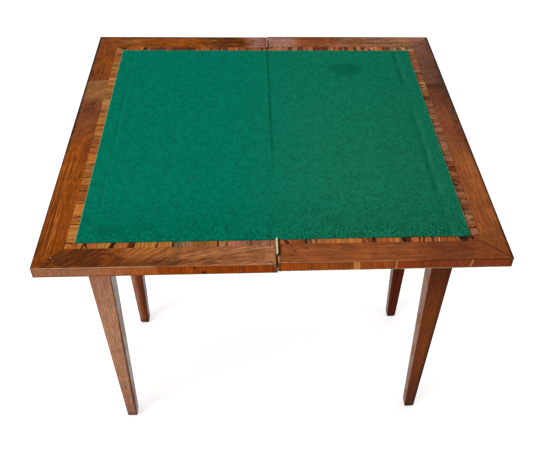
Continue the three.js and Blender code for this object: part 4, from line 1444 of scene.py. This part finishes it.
# The front-left leg's paler, pinker tones and its glow are partly its own wood and partly painted light from
# the left
dress(["leg_front_left"], leg_finish(
    "Walnut leg, front left", (0.3, 0, 0), (-LEG_X, -LEG_Y, 0), ("b98468", "a66c54", "844e3b"), "b07c66",
    1, "9c928e", 0.6, 0.8, glow="cc986e"))
dress(["leg_back_left"], leg_finish(
    "Walnut leg, back left", (1.3, 0.2, 0), (-LEG_X, LEG_Y, 0), ("92502e", "7a3a1e", "4e1f10"), "8a4c32",
    1, "2a100c", 0.75, 0.4, shading_across=(0.0, -0.8, "bc7e66", 0.8)))
dress(["leg_front_right"], leg_finish(
    "Walnut leg, front right", (2.3, 0.4, 0), (LEG_X, -LEG_Y, 0), ("7a3a1c", "5c2812", "3c1609"), "60301a",
    -1, "98582f", 0.62, 0.75, glow="9a4c16", shading_across=(0.2, 1.0, "4e1c0c", 0.5)))
dress(["leg_back_right"], leg_finish(
    "Walnut leg, back right", (3.3, 0.6, 0), (LEG_X, LEG_Y, 0), ("782c10", "5a1c06", "3a1004"), "5e220c",
    -1, "84462a", 0.32, 0.6))
for count, (side, face) in enumerate((("front", "-y"), ("back", "+y"), ("left", "-x"), ("right", "+x"))):
    dress([f"apron_{side}"], apron_finish(f"Veneered apron, {side}", face, (count * 1.7, 0.1, 0)))
dress(["well_bottom"], board_finish("Fir, well bottom", "x", (0.4, 0, 0), FIR))
dress(["pivot_rail"], board_finish("Fir, pivot rail", "y", (1.4, 0, 0), FIR))
dress(["flap_core", "fixed_core"], board_finish("Poplar core", "y", (0, 0, 0), POPLAR))
dress(["flap_clamp_front", "flap_clamp_back", "fixed_clamp_front", "fixed_clamp_back"],
      board_finish("Poplar clamps", "x", (2, 0, 0), POPLAR))
dress(["flap_field_ground", "fixed_field_ground"],
      board_finish("Poplar ground", "y", (5, 0, 0), POPLAR, soil=0.2))
dress(["fixed_backing_veneer"], board_finish("Poplar backing", "y", (7, 0, 0), POPLAR, 0.008, 0.02))
dress(["flap_seam_lipping"], lipping_finish(
    "Beech lipping, flap", ("a46c4a", "925c3a", "6a3e24"), (0.5, 0, 0), (-0.0036, -0.0014)))
dress(["fixed_seam_lipping"], lipping_finish(
    "Beech lipping, fixed", ("ac7450", "996040", "75442a"), (1.5, 0, 0), (0.0009, 0.0002), 0.6))
dress(["fixed_stop_peg"], board_finish("Beech peg", "z", (1, 0, 0), BEECH))
dress([name for name in nodes if "front_hinge" in name], BRASS)
# The back hinge takes the brass darkened with painted shade
dress([name for name in nodes if "back_hinge" in name], BRASS_PAINTED_SHADE)
dress([name for name in nodes if name.startswith("fixed_swivel")], IRON)

# Arrises
soften([name for name in nodes if name.startswith("leg_")], 1.6 * MM, 3)
soften([name for name in nodes if name.startswith("apron_")], 0.6 * MM)
soften([name for name in nodes if "_border_" in name], 0.2 * MM)
soften([name for name in nodes if "_edge_" in name], 0.2 * MM, 1)
soften(["flap_outer_veneer", "flap_seam_lipping", "fixed_seam_lipping"], 0.3 * MM)
soften([name for name in nodes if "hinge" in name and "pin" not in name], 0.12 * MM, 1)
soften(["fixed_swivel_plate", "fixed_swivel_nut", "fixed_swivel_washer"], 0.5 * MM)
soften(["fixed_stop_peg", "pivot_rail"], 0.5 * MM)

# Crossbands, one piece for each side of each leaf
for seed, (leaf, prefix) in enumerate(((-1, "flap"), (1, "fixed"))):
    for number, where in enumerate(("front", "side", "back")):
        crossband(f"{prefix}_crossband_{where}", leaf, where, 20 + seed * 10 + number)

# The cloth, one sheet glued over both leaves
cloth = baize_sheet(baize_finish())
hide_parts("flap_baize", "fixed_baize")
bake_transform(cloth)

edge_repairs()
hinge_screws()
well_nails()

# Studio: a white floor, a white world and soft lamps
studio_floor()
studio_world()
lamp("key", (-2.2, -1.9, 1.9), (0, 0, 0.6), 1.8, 46)
lamp("overhead", (-0.1, 0.2, 3.2), (0, 0, 0.7), 2.2, 25)
lamp("back_right", (1.7, 2.4, 2.6), (0.2, 0.1, 0.7), 1.4, 5)

# Camera, solved from the photograph's view of the top's corners and the feet
CAMERA_PLACE = (-0.0363, -1.2488, 1.5829)
AZIMUTH = math.radians(5.633)
DOWN = math.radians(43.579)
ROLL = math.radians(2.795)
forward = Vector((math.sin(AZIMUTH) * math.cos(DOWN), math.cos(AZIMUTH) * math.cos(DOWN), -math.sin(DOWN)))
level = Vector((math.cos(AZIMUTH), -math.sin(AZIMUTH), 0))
above = level.cross(forward)
right = level * math.cos(ROLL) + above * math.sin(ROLL)
up = above * math.cos(ROLL) - level * math.sin(ROLL)
lens = bpy.data.cameras.new("camera")
lens.sensor_width = 36
lens.lens = 46.865
lens.shift_x = -0.058
lens.shift_y = 0.0602
camera = bpy.data.objects.new("camera", lens)
camera.matrix_world = Matrix.Translation(CAMERA_PLACE) @ Matrix((right, up, -forward)).transposed().to_4x4()
bpy.context.scene.collection.objects.link(camera)
bpy.context.scene.camera = camera
bpy.context.scene.view_settings.view_transform = "Standard"

# Brings the scene up to date
bpy.context.view_layer.update()
